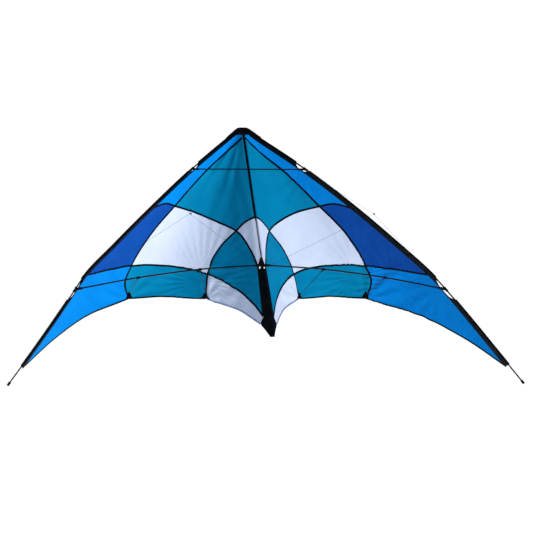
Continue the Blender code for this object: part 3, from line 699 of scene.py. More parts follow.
@dataclass
class Effects:
    """All the shared effects, each made once."""

    ripstop: Effect = field(init=False)
    creases: Effect = field(init=False)
    stitches: Effect = field(init=False)
    twill: Effect = field(init=False)
    scuffs: Effect = field(init=False)

    def __post_init__(self) -> None:
        """Makes every effect."""
        self.ripstop = self.make_ripstop()
        self.creases = self.make_creases()
        self.stitches = self.make_stitches()
        self.twill = self.make_twill()
        self.scuffs = self.make_scuffs()

    def make_ripstop(self) -> Effect:
        """The heavier threads of the cloth in squares, with the fine weave between.

        Returns:
            The group, with a mask of the lines and a height.
        """
        effect = Effect("ripstop", {"Square": 0.005}, ("Lines", "Height"))
        nodes = effect.nodes
        split = nodes.add("ShaderNodeSeparateXYZ", Vector=effect.given["Surface"])
        lines, threads = [], []
        for axis in (0, 1):
            squares = nodes.math("DIVIDE", split.outputs[axis], effect.given["Square"])
            lines.append(nodes.math("LESS_THAN", nodes.math("FRACT", squares), 0.12))
            threads.append(nodes.math("SINE", nodes.math("MULTIPLY", squares, 75.4)))
        mask = nodes.math("MAXIMUM", *lines)
        effect.put("Lines", mask)
        effect.put("Height", nodes.math("MULTIPLY_ADD", nodes.math("MULTIPLY", *threads),
                                        0.25, mask))
        return effect

    def make_creases(self) -> Effect:
        """Slack and the sharp little creases of crisp coated cloth.

        Returns:
            The group, with a mask of the shading and a height.
        """
        effect = Effect("creases", {"Scale": 12.0}, ("Shade", "Height"))
        nodes = effect.nodes
        place = effect.given["Surface"]
        broad = nodes.add("ShaderNodeTexNoise", Vector=place, Scale=effect.given["Scale"],
                          Detail=3.0, Roughness=0.5).outputs[0]
        fine = nodes.add("ShaderNodeTexNoise", Vector=place, Detail=4.0, Roughness=0.55,
                         Distortion=0.6,
                         Scale=nodes.math("MULTIPLY", effect.given["Scale"], 3.7)).outputs[0]
        ridge = nodes.math("ABSOLUTE", nodes.math("SUBTRACT", fine, 0.5))
        crease = nodes.math("SUBTRACT", 1.0, nodes.ranged(ridge, 0.0, 0.11))
        effect.put("Shade", nodes.ranged(broad, 0.36, 0.66))
        effect.put("Height", nodes.math("MULTIPLY_ADD", crease, 0.30, broad))
        return effect

    def make_stitches(self) -> Effect:
        """A row of stitches at a set distance from the edge.

        Returns:
            The group, with a mask of the thread.
        """
        effect = Effect("stitches", {"Offset": 0.0025, "Pitch": 0.003}, ("Thread",))
        nodes = effect.nodes
        split = nodes.add("ShaderNodeSeparateXYZ", Vector=effect.given["Surface"])
        aside = nodes.math("ABSOLUTE", nodes.math("SUBTRACT", split.outputs[0],
                                                  effect.given["Offset"]))
        near = nodes.math("LESS_THAN", aside, 0.4 * MM)
        step = nodes.math("FRACT", nodes.math("DIVIDE", split.outputs[1],
                                              effect.given["Pitch"]))
        effect.put("Thread", nodes.math("MULTIPLY", near,
                                        nodes.math("LESS_THAN", step, 0.66)))
        return effect

    def make_twill(self) -> Effect:
        """Slanting ribs crossed by finer threads, for webbing, cord and carbon.

        Returns:
            The group, with a height.
        """
        effect = Effect("twill", {"Pitch": 0.0012}, ("Height",))
        nodes = effect.nodes
        split = nodes.add("ShaderNodeSeparateXYZ", Vector=effect.given["Surface"])
        flat = nodes.math("ADD", split.outputs[0], split.outputs[2])
        ribs = nodes.math("ADD", flat, split.outputs[1])
        cross = nodes.math("SUBTRACT", flat, split.outputs[1])
        turns = nodes.math("DIVIDE", 6.2832, effect.given["Pitch"])
        rib = nodes.math("SINE", nodes.math("MULTIPLY", ribs, turns))
        thread = nodes.math("SINE", nodes.math("MULTIPLY", cross,
                                               nodes.math("MULTIPLY", turns, 0.5)))
        effect.put("Height", nodes.math("MULTIPLY_ADD", thread, 0.35, rib))
        return effect

    def make_scuffs(self) -> Effect:
        """Dust and rubbed places, in patches with short scratches.

        Returns:
            The group, with masks of the rubbed places and the dust.
        """
        effect = Effect("scuffs", {"Scale": 60.0}, ("Rubbed", "Dust"))
        nodes = effect.nodes
        place = effect.given["Surface"]
        patch = nodes.add("ShaderNodeTexNoise", Vector=place, Scale=effect.given["Scale"],
                          Detail=5.0, Roughness=0.65).outputs[0]
        fine = nodes.add("ShaderNodeTexNoise", Vector=place, Detail=2.0,
                         Scale=nodes.math("MULTIPLY", effect.given["Scale"], 9.0)).outputs[0]
        effect.put("Rubbed", nodes.math("MULTIPLY", nodes.ranged(patch, 0.50, 0.68),
                                        nodes.ranged(fine, 0.42, 0.60)))
        effect.put("Dust", nodes.ranged(patch, 0.35, 0.75))
        return effect


# ---------------------------------------------------------------- finishes


def new_material(name: str) -> tuple[bpy.types.Material, Nodes, bpy.types.Node]:
    """A material, its nodes and its Principled shader.

    Args:
        name: The material's name.

    Returns:
        The material, its nodes and its Principled shader.
    """
    material = bpy.data.materials.new(name)
    material.use_nodes = True
    nodes = Nodes(material.node_tree)
    return material, nodes, material.node_tree.nodes["Principled BSDF"]


def surface_marks(nodes: Nodes) -> bpy.types.NodeSocket:
    """The surface's own measure in metres, across and along."""
    return nodes.add("ShaderNodeUVMap", {"uv_map": "Surface"}).outputs[0]


@dataclass(frozen=True)
class Ripstop:
    """Thin coated sail cloth, which lets a little light through, with painted shade in its folds."""

    name: str
    colour: Colour
    # folded: painted shade, a darker copy of the colour for the cloth in its folds
    folded: Colour
    threads: Colour
    roughness: float = 0.50
    translucency: float = 0.5

    def make(self, effects: Effects) -> bpy.types.Material:
        """The material, made from the shared effects.

        Args:
            effects: The shared effects.

        Returns:
            The material.
        """
        material, nodes, shader = new_material(self.name)
        surface = surface_marks(nodes)
        creases = effects.creases.place(nodes, Surface=surface, Scale=11.0)
        weave = effects.ripstop.place(nodes, Surface=surface, Square=0.0055)
        # painted shade: the cloth turns to the darker fold colour where the broad crease noise is low
        fold_shaded_tint = nodes.mix(creases["Shade"], (*self.folded, 1), (*self.colour, 1))
        lines = nodes.math("MULTIPLY", weave["Lines"], 0.45)
        colour = nodes.mix(lines, fold_shaded_tint, (*self.threads, 1))
        nodes.put(shader.inputs["Base Color"], colour)
        nodes.put(shader.inputs["Roughness"],
                  nodes.math("MULTIPLY_ADD", creases["Shade"], -0.10, self.roughness + 0.05))
        slack = nodes.bump(creases["Height"], 4.0 * MM, 0.30)
        normal = nodes.bump(weave["Height"], 0.12 * MM, 0.35, slack)
        nodes.put(shader.inputs["Normal"], normal)
        shader.inputs["Specular IOR Level"].default_value = 0.06
        glow = nodes.add("ShaderNodeBsdfTranslucent", Color=colour, Normal=normal)
        both = nodes.add("ShaderNodeMixShader")
        both.inputs[0].default_value = self.translucency
        nodes.put(both.inputs[1], shader.outputs[0])
        nodes.put(both.inputs[2], glow.outputs[0])
        output = material.node_tree.nodes["Material Output"]
        nodes.put(output.inputs["Surface"], both.outputs[0])
        return material


@dataclass(frozen=True)
class Webbing:
    """Heavy black binding cloth with a row of stitches."""

    name: str
    colour: Colour = (0.0022, 0.0024, 0.0034)
    worn: Colour = (0.0070, 0.0074, 0.0095)
    thread: Colour = (0.022, 0.023, 0.027)
    stitch: float = 1.6 * MM
    pitch: float = 3.2 * MM
    roughness: float = 0.62

    def make(self, effects: Effects) -> bpy.types.Material:
        """The material, made from the shared effects.

        Args:
            effects: The shared effects.

        Returns:
            The material.
        """
        material, nodes, shader = new_material(self.name)
        surface = surface_marks(nodes)
        twill = effects.twill.place(nodes, Surface=surface, Pitch=0.0016)
        creases = effects.creases.place(nodes, Surface=surface, Scale=26.0)
        seam = effects.stitches.place(nodes, Surface=surface, Offset=self.stitch,
                                      Pitch=self.pitch)
        cloth = nodes.mix(creases["Shade"], (*self.colour, 1), (*self.worn, 1))
        nodes.put(shader.inputs["Base Color"],
                  nodes.mix(seam["Thread"], cloth, (*self.thread, 1)))
        nodes.put(shader.inputs["Roughness"],
                  nodes.math("MULTIPLY_ADD", creases["Shade"], -0.16, self.roughness))
        puckers = nodes.bump(creases["Height"], 1.6 * MM, 0.5)
        raised = nodes.bump(seam["Thread"], 0.4 * MM, 0.6, puckers)
        nodes.put(shader.inputs["Normal"], nodes.bump(twill["Height"], 0.15 * MM, 0.4, raised))
        shader.inputs["Specular IOR Level"].default_value = 0.12
        return material


@dataclass(frozen=True)
class HardFinish:
    """Carbon rod, moulded rubber or drawn tube, dusty and rubbed in places."""

    name: str
    colour: Colour
    rubbed: Colour
    roughness: float
    metallic: float = 0.0
    coat: float = 0.0
    grain: float = 1.1 * MM
    grain_strength: float = 0.15
    scuff_scale: float = 70.0

    def make(self, effects: Effects) -> bpy.types.Material:
        """The material, made from the shared effects.

        Args:
            effects: The shared effects.

        Returns:
            The material.
        """
        material, nodes, shader = new_material(self.name)
        place = nodes.add("ShaderNodeTexCoord").outputs["Object"]
        scuffs = effects.scuffs.place(nodes, Surface=place, Scale=self.scuff_scale)
        twill = effects.twill.place(nodes, Surface=place, Pitch=self.grain)
        nodes.put(shader.inputs["Base Color"],
                  nodes.mix(scuffs["Rubbed"], (*self.colour, 1), (*self.rubbed, 1)))
        nodes.put(shader.inputs["Roughness"],
                  nodes.math("MULTIPLY_ADD", scuffs["Dust"], 0.18, self.roughness))
        dents = nodes.bump(scuffs["Rubbed"], 0.2 * MM, 0.3)
        nodes.put(shader.inputs["Normal"],
                  nodes.bump(twill["Height"], 0.08 * MM, self.grain_strength, dents))
        shader.inputs["Metallic"].default_value = self.metallic
        shader.inputs["Specular IOR Level"].default_value = 0.22
        shader.inputs["Coat Weight"].default_value = self.coat
        shader.inputs["Coat Roughness"].default_value = 0.2
        return material


@dataclass
class Wardrobe:
    """Every finish of the kite, as materials ready to put on."""

    finishes: tuple[Ripstop | Webbing | HardFinish, ...] = (
        # Each cloth gives its colour, a darker copy of it as painted shade for its folds, and the colour of its
        # ripstop threads.
        Ripstop("azure", (0.001, 0.226, 0.700), (0.001, 0.206, 0.660), (0.003, 0.260, 0.760)),
        Ripstop("teal", (0.001, 0.216, 0.420), (0.001, 0.196, 0.390), (0.002, 0.250, 0.470)),
        Ripstop("navy", (0.005, 0.070, 0.365), (0.004, 0.062, 0.335), (0.009, 0.090, 0.410)),
        Ripstop("white", (0.640, 0.700, 0.880), (0.610, 0.675, 0.865), (0.700, 0.750, 0.910)),
        Webbing("webbing"),
        Webbing("binding", stitch=1.5 * MM, pitch=2.6 * MM),
        HardFinish("carbon", (0.003, 0.003, 0.004), (0.014, 0.014, 0.016), 0.32, coat=0.08),
        HardFinish("moulded", (0.003, 0.003, 0.004), (0.016, 0.016, 0.018), 0.52,
                   grain=0.7 * MM, grain_strength=0.25),
        HardFinish("aluminium", (0.62, 0.63, 0.65), (0.80, 0.81, 0.82), 0.28, metallic=1.0,
                   grain=0.4 * MM),
        HardFinish("cord", (0.010, 0.010, 0.013), (0.060, 0.062, 0.070), 0.70,
                   grain=1.5 * MM, grain_strength=0.9, scuff_scale=200.0),
    )
    made: dict[str, bpy.types.Material] = field(default_factory=dict)

    def __post_init__(self) -> None:
        """Makes the shared effects and then each finish."""
        effects = Effects()
        for finish in self.finishes:
            self.made[finish.name] = finish.make(effects)

    def put_on(self, obj: bpy.types.Object, *names: str) -> None:
        """Gives the object these finishes in place of its own.

        Args:
            obj: The piece.
            names: Names of its finishes, the first one for faces of material 0.
        """
        obj.data.materials.clear()
        for name in names:
            obj.data.materials.append(self.made[name])


# ---------------------------------------------------------------- meshes


def add_mesh(name: str, mesh: bpy.types.Mesh) -> bpy.types.Object:
    """A new object in the scene for the mesh, shaded smooth.

    Args:
        name: The new object's name.
        mesh: Its finished mesh.

    Returns:
        The object.
    """
    mesh.polygons.foreach_set("use_smooth", [True] * len(mesh.polygons))
    obj = bpy.data.objects.new(name, mesh)
    bpy.context.scene.collection.objects.link(obj)
    LOG.info("made %s with %d faces", name, len(mesh.polygons))
    return obj


def cloth_mesh(name: str, patches: Iterable[tuple[Grid, Marks]]) -> bpy.types.Object:
    """A sheet made of grids of points, welded where they meet.

    Args:
        name: The new object's name.
        patches: Grids of points, each with its measure across and along in metres.

    Returns:
        The object, with the measure in its Surface layer.
    """
    points, faces, marks = [], [], []
    for rows, measure in patches:
        first, across = len(points), len(rows[0])
        points += [p for row in rows for p in row]
        marks += [m for row in measure for m in row]
        for r in range(len(rows) - 1):
            for c in range(across - 1):
                a = first + r * across + c
                faces.append((a, a + 1, a + 1 + across, a + across))
    mesh = bpy.data.meshes.new(name)
    mesh.from_pydata(points, [], faces)
    layer = mesh.uv_layers.new(name="Surface")
    for loop in mesh.loops:
        layer.data[loop.index].uv = marks[loop.vertex_index]
    bm = bmesh.new()
    bm.from_mesh(mesh)
    bmesh.ops.remove_doubles(bm, verts=bm.verts, dist=0.02 * MM)
    bmesh.ops.recalc_face_normals(bm, faces=bm.faces)
    bm.to_mesh(mesh)
    bm.free()
    return add_mesh(name, mesh)


def tape(name: str, centres: Sequence[Vector], fronts: Sequence[Vector], width: float,
         thick: float) -> bpy.types.Object:
    """A flat tape along a line, wrapped over both faces of the cloth.

    Args:
        name: The new object's name.
        centres: Points along the middle of the tape.
        fronts: The way out of the cloth at each point.
        width: Width of the tape.
        thick: Thickness over both faces.

    Returns:
        The tape.
    """
    rows, marks, along = [], [], 0.0
    for i, (centre, front) in enumerate(zip(centres, fronts)):
        ahead = centres[min(i + 1, len(centres) - 1)] - centres[max(i - 1, 0)]
        aside = front.cross(ahead).normalized() * width / 2
        out = front * thick / 2
        along += (centre - centres[i - 1]).length if i else 0.0
        rows.append([centre - aside + out, centre + out * 1.3, centre + aside + out,
                     centre + aside - out, centre - out * 1.3, centre - aside - out,
                     centre - aside + out])
        marks.append([(w, along) for w in (0, width / 2, width, width, width / 2, 0, 0)])
    return cloth_mesh(name, [(rows, marks)])


def cord_curve(name: str, points: Sequence[Vector], radius: float) -> bpy.types.Object:
    """A round cord along the points.

    Args:
        name: The new object's name.
        points: Points along the middle of the cord.
        radius: Radius of the cord.

    Returns:
        The cord.
    """
    curve = bpy.data.curves.new(name, "CURVE")
    curve.dimensions = "3D"
    curve.bevel_depth = radius
    curve.bevel_resolution = 3
    curve.use_fill_caps = True
    spline = curve.splines.new("POLY")
    spline.points.add(len(points) - 1)
    for place, point in zip(spline.points, points):
        place.co = (*point, 1)
    obj = bpy.data.objects.new(name, curve)
    bpy.context.scene.collection.objects.link(obj)
    LOG.info("made %s, %.3f m long", name, run_length(points))
    return obj


def hang(obj: bpy.types.Object, wing: Wing | None) -> bpy.types.Object:
    """Lets a piece ride on its wing, or bend at the keel if it reaches it.

    Args:
        obj: The finished piece.
        wing: Its wing, or None for the middle of the kite.

    Returns:
        The same piece.
    """
    if wing is None:
        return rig.ride(obj, "frame")
    if min(abs(v.co.x) for v in obj.data.vertices) < Keel.hinge_width:
        end = (wing.value * Keel.hinge_width, 0, 0)
        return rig.blend(obj, "frame", wing.body, start=(0, 0, 0), end=end)
    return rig.ride(obj, wing.body)


# ---------------------------------------------------------------- sub-assemblies


@dataclass
class Studio:
    """The camera, the soft lights, and a pale floor well below the kite.

    The large key lamp stands behind and above, so that its light comes through the
    cloth and the spine shows as a shadow.
    """

    aim: Plan = (0.0128, -0.0052)
    aim_height: float = -0.0059
    turn: float = math.radians(-22.0)
    distance: float = 50.0
    view_width: float = 2.098
    floor_height: float = -1.60
    floor_radius: float = 5.5
    sky: float = 0.19
    sky_colour: Colour = (0.48, 0.76, 1.0)
    seen_white: float = 1.05
    key_place: tuple[float, float, float] = (-3.4, 5.6, 4.6)
    key_size: float = 2.4
    key_watts: float = 1240.0
    fill_place: tuple[float, float, float] = (4.5, -5.5, 1.0)
    fill_size: float = 4.0
    fill_watts: float = 20.0

    def build(self) -> None:
        """Sets up the camera, the lights, the sky and the floor."""
        self.add_camera()
        self.add_sky()
        self.add_lamp("key_light", self.key_place, self.key_size, self.key_watts)
        self.add_lamp("fill_light", self.fill_place, self.fill_size, self.fill_watts)
        self.add_floor()

    def add_camera(self) -> None:
        """A long lens that looks level at the T from the pilot's left."""
        lens = bpy.data.cameras.new("camera")
        lens.sensor_width = 36.0
        lens.lens = lens.sensor_width * self.distance / self.view_width
        lens.clip_end = 4 * self.distance
        camera = bpy.data.objects.new("camera", lens)
        away = Vector((math.sin(self.turn), -math.cos(self.turn), 0.0))
        camera.location = Vector((*self.aim, self.aim_height)) + away * self.distance
        camera.rotation_euler = (-away).to_track_quat("-Z", "Y").to_euler()
        bpy.context.scene.collection.objects.link(camera)
        bpy.context.scene.camera = camera

    def add_sky(self) -> None:
        """Plain white all round, dimmer as a light than it looks."""
        world = bpy.data.worlds.new("studio")
        bpy.context.scene.world = world
        world.use_nodes = True
        nodes = Nodes(world.node_tree)
        seen = nodes.add("ShaderNodeBackground", Color=(1, 1, 1, 1), Strength=self.seen_white)
        light = nodes.add("ShaderNodeBackground", Color=(*self.sky_colour, 1),
                          Strength=self.sky)
        path = nodes.add("ShaderNodeLightPath")
        both = nodes.add("ShaderNodeMixShader")
        for socket, value in ((0, path.outputs["Is Camera Ray"]), (1, light.outputs[0]),
                              (2, seen.outputs[0])):
            nodes.put(both.inputs[socket], value)
        nodes.put(world.node_tree.nodes["World Output"].inputs["Surface"], both.outputs[0])

    def add_lamp(self, name: str, place: Sequence[float], size: float, watts: float) -> None:
        """A large square lamp that faces the kite.

        Args:
            name: The lamp's name.
            place: Where it stands.
            size: Length of its sides.
            watts: Its power.
        """
        lamp = bpy.data.lights.new(name, "AREA")
        lamp.size, lamp.energy = size, watts
        obj = bpy.data.objects.new(name, lamp)
        obj.location = place
        obj.rotation_euler = (-Vector(place)).to_track_quat("-Z", "Y").to_euler()
        bpy.context.scene.collection.objects.link(obj)

    def add_floor(self) -> None:
        """A round pale floor, out of the way of the level view."""
        bm = bmesh.new()
        bmesh.ops.create_circle(bm, cap_ends=True, segments=96, radius=self.floor_radius)
        mesh = bpy.data.meshes.new("floor")
        bm.to_mesh(mesh)
        bm.free()
        floor = bpy.data.objects.new("floor", mesh)
        floor.location.z = self.floor_height
        bpy.context.scene.collection.objects.link(floor)
        material, nodes, shader = new_material("floor")
        grain = nodes.add("ShaderNodeTexNoise", Scale=3.0, Detail=4.0).outputs[0]
        nodes.put(shader.inputs["Base Color"],
                  nodes.mix(grain, (0.86, 0.86, 0.86, 1), (0.90, 0.90, 0.90, 1)))
        shader.inputs["Roughness"].default_value = 0.8
        mesh.materials.append(material)
        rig.stage(floor)


@dataclass
class Bridle:
    """The three cords of each wing, hitched to the frame and knotted together."""

    form: SailForm
    wardrobe: Wardrobe
    tow_point: tuple[float, float, float] = (0.390, -0.200, 0.200)
    cord_radius: float = 0.45 * MM
    upper_span: float = 0.242
    lower_span: float = 0.787
    upper_offset: float = 14 * MM
    lower_offset: float = -8.2 * MM
    spar_hitch: float = 3.8 * MM
    connector_hitch: float = 6.3 * MM
    hitch_sweep: float = 400.0
    hitch_steps: int = 24
    hitch_rise: float = 2.2
    arm_hitch: float = 6.0 * MM
    arm_centre: tuple[float, float, float] = (18.6 * MM, 0.8 * MM, -1.2 * MM)
    arm_direction: tuple[float, float, float] = (0.9976, 0.0407, -0.0556)
    bend: float = 12 * MM
    gap: float = 5 * MM
    knot_radius: float = 4 * MM
    knot_cells: int = 60

    def hitch(self, centre: Vector, axis: Vector, radius: float,
              towards: Vector) -> list[Vector]:
        """A turn of cord round a rod, leaving straight towards a point.

        Args:
            centre: The middle of the rod.
            axis: The way the rod runs.
            radius: From the rod's middle to the middle of the cord.
            towards: Where the cord goes from there.

        Returns:
            Points of the turn, the last one where the cord leaves.
        """
        way = towards - centre
        out = (way - axis * way.dot(axis)).normalized()
        aside = axis.cross(out).normalized()
        turns = []
        for share in (i / self.hitch_steps for i in range(self.hitch_steps + 1)):
            angle = math.radians(90 + self.hitch_sweep * (1 - share))
            drift = (share - 0.5) * self.hitch_rise * self.cord_radius
            turns.append(centre + axis * drift
                         + (out * math.cos(angle) + aside * math.sin(angle)) * radius)
        return turns

    def main_route(self, wing: Wing) -> list[Vector]:
        """From the upper spar round the tow point to the lower connector.

        Args:
            wing: The wing, left or right.

        Returns:
            Points along the middle of the cord.
        """
        tow = wing.mirror(self.tow_point)
        upper, along, _ = self.form.edge_frame(self.upper_span, wing)
        start = self.hitch(upper + along * self.upper_offset, along, self.spar_hitch, tow)
        lower, along, _ = self.form.edge_frame(self.lower_span, wing)
        end = self.hitch(lower + along * self.lower_offset, along, self.connector_hitch, tow)
        into, out = (start[-1] - tow).normalized(), (end[-1] - tow).normalized()
        first, last = tow + into * self.bend, tow + out * self.bend
        curve = [first.lerp(tow, s).lerp(tow.lerp(last, s), s)
                 for s in (i / 8 for i in range(9))]
        return (start[:-1] + straight(start[-1], first, 8)[:-1] + curve
                + straight(last, end[-1], 8)[1:-1] + end[::-1])

    def centre_route(self, wing: Wing) -> list[Vector]:
        """From the arm of the T to the tow point.

        Args:
            wing: The wing, left or right.

        Returns:
            Points along the middle of the cord.
        """
        tow = wing.mirror(self.tow_point)
        start = self.hitch(wing.mirror(self.arm_centre), wing.mirror(self.arm_direction),
                           self.arm_hitch, tow)
        way = (tow - start[-1]).normalized()
        return start[:-1] + straight(start[-1], tow - way * self.gap, 10)

    def knot_route(self, middle: Vector) -> list[Vector]:
        """A round stopper knot, tied over itself.

        Args:
            middle: The middle of the knot.

        Returns:
            Points along the middle of the cord.
        """
        size = self.knot_radius / 3.2
        return [middle + Vector((math.sin(a) + 2 * math.sin(2 * a), -1.6 * math.sin(3 * a),
                                 math.cos(a) - 2 * math.cos(2 * a))) * size
                for a in (math.tau * i / self.knot_cells for i in range(self.knot_cells + 1))]

    def dress_cord(self, wing: Wing, piece: str, points: list[Vector]) -> bpy.types.Object:
        """Makes a cord that stands for the CAD piece of the same name.

        Args:
            wing: The wing, left or right.
            piece: Name of the CAD piece, without its side.
            points: Points along the middle of the cord.

        Returns:
            The cord.
        """
        obj = cord_curve(f"{wing.word}_{piece}_cord", points, self.cord_radius)
        self.wardrobe.put_on(obj, "cord")
        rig.ride(obj, wing.body)
        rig.replaces(obj, f"{wing.word}_{piece}")
        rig.slot(obj, "cord")
        return obj

    def build(self, wing: Wing) -> None:
        """Makes one wing's bridle and says how long each cord is.

        Args:
            wing: The wing, left or right.
        """
        tow = wing.mirror(self.tow_point)
        for piece, points in (("main_bridle", self.main_route(wing)),
                              ("centre_bridle", self.centre_route(wing))):
            obj = self.dress_cord(wing, piece, points)
            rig.cord(obj, exit=points[0], length=run_length(points),
                    diameter=2 * self.cord_radius, far_end="object", stiffness="limp",
                    lay="taut")
        upper, _, _ = self.form.edge_frame(self.upper_span, wing)
        lower, _, _ = self.form.edge_frame(self.lower_span, wing)
        ahead = ((upper - tow).normalized() + (lower - tow).normalized()).normalized()
        middle = tow - ahead * (self.knot_radius + self.gap / 2)
        knot = cord_curve(f"{wing.word}_stopper_knot", self.knot_route(middle),
                          2.0 * self.cord_radius)
        self.wardrobe.put_on(knot, "cord")
        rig.ride(knot, wing.body)
        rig.replaces(knot, f"{wing.word}_tow_knot")
        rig.slot(knot, "cord")


@dataclass
class Panels:
    """The nine cloth panels of each wing, and the tapes over their seams."""

    form: SailForm
    wardrobe: Wardrobe
    cells: int = 40
    tuck: float = 2.5 * MM
    seam_width: float = 7.6 * MM
    hem_width: float = 6.0 * MM
    tape_thick: float = 0.9 * MM
    keel_gap: float = 0.5 * MM
    keel_heights: tuple[float, float, float] = (0.548, 0.206, 0.034)
    upper_seam_span: float = 0.424
    lower_seam_span: float = 0.730
    nose_span: float = 0.024
    tip_span: float = 1.032
    chord: Line = Line(((0.006, 0.543), (0.150, 0.428), (0.308, 0.276), (0.425, 0.155),
                        (0.498, 0.050), (0.524, -0.014), (0.504, -0.064)))
    upper: tuple[Plan, ...] = ((0.350, 0.276), (0.308, 0.276), (0.220, 0.262),
                               (0.140, 0.222), (0.071, 0.164), (0.034, 0.077),
                               (0.016, -0.006))
    lower: tuple[Plan, ...] = ((0.609, 0.020), (0.498, 0.050), (0.366, 0.062),
                               (0.244, 0.041), (0.183, 0.012), (0.095, -0.071),
                               (0.045, -0.153), (0.0225, -0.209))
    leaf: tuple[Plan, ...] = ((0.038, 0.192), (0.071, 0.164), (0.128, 0.115),
                              (0.165, 0.061), (0.183, 0.012), (0.198, -0.083))
    tail_trail: Line = Line(((0.034, -0.238), (0.096, -0.157), (0.198, -0.083)))
    middle_trail: Line = Line(((0.198, -0.083), (0.355, -0.056), (0.504, -0.064)))
    outer_trail: tuple[Plan, ...] = ((0.504, -0.064), (0.706, -0.151), (0.868, -0.259))
    nose_heights: Plan = (0.549, 0.566)
    strip_edge: Line = Line(((0.016, -0.006), (0.0175, -0.050), (0.0185, -0.090),
                             (0.0225, -0.209)))

    def hem_point(self, span: float, inset: float) -> Plan:
        """A plan point inside the leading edge, beside the spar at this span."""
        found = self.form.inset(self.form.edge_plan.place_of(span), inset)
        return (found.x, found.y)

    def hem_line(self, start: float, end: float) -> list[Vector]:
        """The sail's edge tucked into the sleeve, between two spans of the spar.

        Args:
            start: Span where it begins.
            end: Span where it ends.

        Returns:
            Plan points along the sail's edge.
        """
        low, high = (self.form.edge_plan.place_of(span) for span in (start, end))
        return [self.form.inset(low + (high - low) * i / self.cells,
                                self.form.flap - self.tuck)
                for i in range(self.cells + 1)]

    def seams(self) -> dict[str, Line]:
        """The seams and hems of a wing, by name.

        Returns:
            A line for each name, from its inner end to its outer end or the other way.
        """
        inset = self.form.flap - self.tuck
        return {
            "chord": self.chord,
            "upper": Line((self.hem_point(self.upper_seam_span, inset), *self.upper)),
            "lower": Line((self.hem_point(self.lower_seam_span, inset), *self.lower)),
            "leaf": Line(((self.keel_gap, self.keel_heights[1]), *self.leaf)),
            "tail_hem": self.tail_trail,
            "middle_hem": self.middle_trail,
            "outer_hem": Line((*self.outer_trail, self.hem_point(self.tip_span, inset))),
            "strip": self.strip_edge,
        }

    def outlines(self) -> dict[str, tuple[str, tuple[list[Vector], ...]]]:
        """Each panel's finish and four sides: low, high, left and right.

        Returns:
            For each panel, its finish and its four sides.
        """
        seams, n = self.seams(), self.cells
        chord, upper, lower, leaf = (seams[k] for k in ("chord", "upper", "lower", "leaf"))
        chords = [chord.run(a, a + 2, n) for a in (0, 2, 4)]
        uppers = [upper.run(a, b, n) for a, b in ((0, 2), (2, 5), (5, 7))]
        lowers = [lower.run(a, b, n) for a, b in ((0, 2), (2, 5), (5, 8))]
        leaves = [leaf.run(a, b, n) for a, b in ((0, 2), (2, 5), (5, 6))]
        tail, middle, outer = (seams[k].run(0, last, n) for k, last in (
            ("tail_hem", 2), ("middle_hem", 2), ("outer_hem", 3)))
        hems = [self.hem_line(a, b) for a, b in (
            (self.nose_span, self.upper_seam_span),
            (self.upper_seam_span, self.lower_seam_span),
            (self.lower_seam_span, self.tip_span))]
        top, keel_leaf, keel_end = (Vector((self.keel_gap, h)) for h in self.keel_heights)
        nose = [Vector((self.keel_gap, h)) for h in self.nose_heights]
        leaf_inner = uppers[2] + self.strip_edge.run(0, 3, n)[1:]
        leaf_outer = leaves[1] + lowers[2][1:]
        beside = leaves[0] + uppers[1][::-1][1:]
        return {
            "azure_strip": ("azure", (
                [nose[0]] + chords[0][1:], [nose[1]] + hems[0][1:], straight(*nose, n),
                uppers[0][::-1])),
            "upper_teal_panel": ("teal", (
                straight(top, keel_leaf, n), chords[0],
                straight(top, chords[0][0], 2 * n), beside)),
            "navy_panel": ("navy", (uppers[0], lowers[0], hems[1], chords[1])),
            "white_panel": ("white", (uppers[1], lowers[1], chords[1], leaves[1])),
            "azure_tip": ("azure", (lowers[0], outer[::-1], hems[2], chords[2])),
            "lower_teal_panel": ("teal", (lowers[1], middle[::-1], chords[2], leaves[2])),
            "teal_leaf": ("teal", (
                straight(leaf_inner[0], leaf_outer[0], 8),
                straight(leaf_inner[-1], leaf_outer[-1], 8), leaf_inner, leaf_outer)),
            "keel_panel": ("white", (
                straight(keel_leaf, keel_end, n), uppers[2], leaves[0],
                straight(keel_end, uppers[2][-1], n))),
            "tail_panel": ("white", (
                lowers[2], tail[::-1], leaves[2], straight(lowers[2][-1], tail[0], n))),
        }

    @staticmethod
    def fill(sides: tuple[list[Vector], ...]) -> Grid:
        """Plan points between four sides, low and high across, left and right along.

        Args:
            sides: The low, high, left and right side.

        Returns:
            Rows of points, from the low side to the high side.
        """
        low, high, left, right = sides
        rows = []
        for row, (a, b) in enumerate(zip(left, right)):
            down = row / (len(left) - 1)
            rows.append([])
            for column, (c, d) in enumerate(zip(low, high)):
                over = column / (len(low) - 1)
                corners = low[0].lerp(low[-1], over).lerp(high[0].lerp(high[-1], over), down)
                rows[-1].append(c.lerp(d, down) + a.lerp(b, over) - corners)
        return rows

    @staticmethod
    def cut_size(outline: Sequence[Vector]) -> Plan:
        """Sides of the smallest rectangle of cloth that the outline can be cut from.

        Args:
            outline: The points that it has to hold.

        Returns:
            The short side and the long side.
        """
        found = []
        for degrees in range(0, 180, 3):
            way = Vector((math.cos(math.radians(degrees)), math.sin(math.radians(degrees))))
            side = Vector((-way.y, way.x))
            sizes = [max(p.dot(d) for p in outline) - min(p.dot(d) for p in outline)
                     for d in (way, side)]
            found.append((sizes[0] * sizes[1], min(sizes), max(sizes)))
        return min(found)[1:]

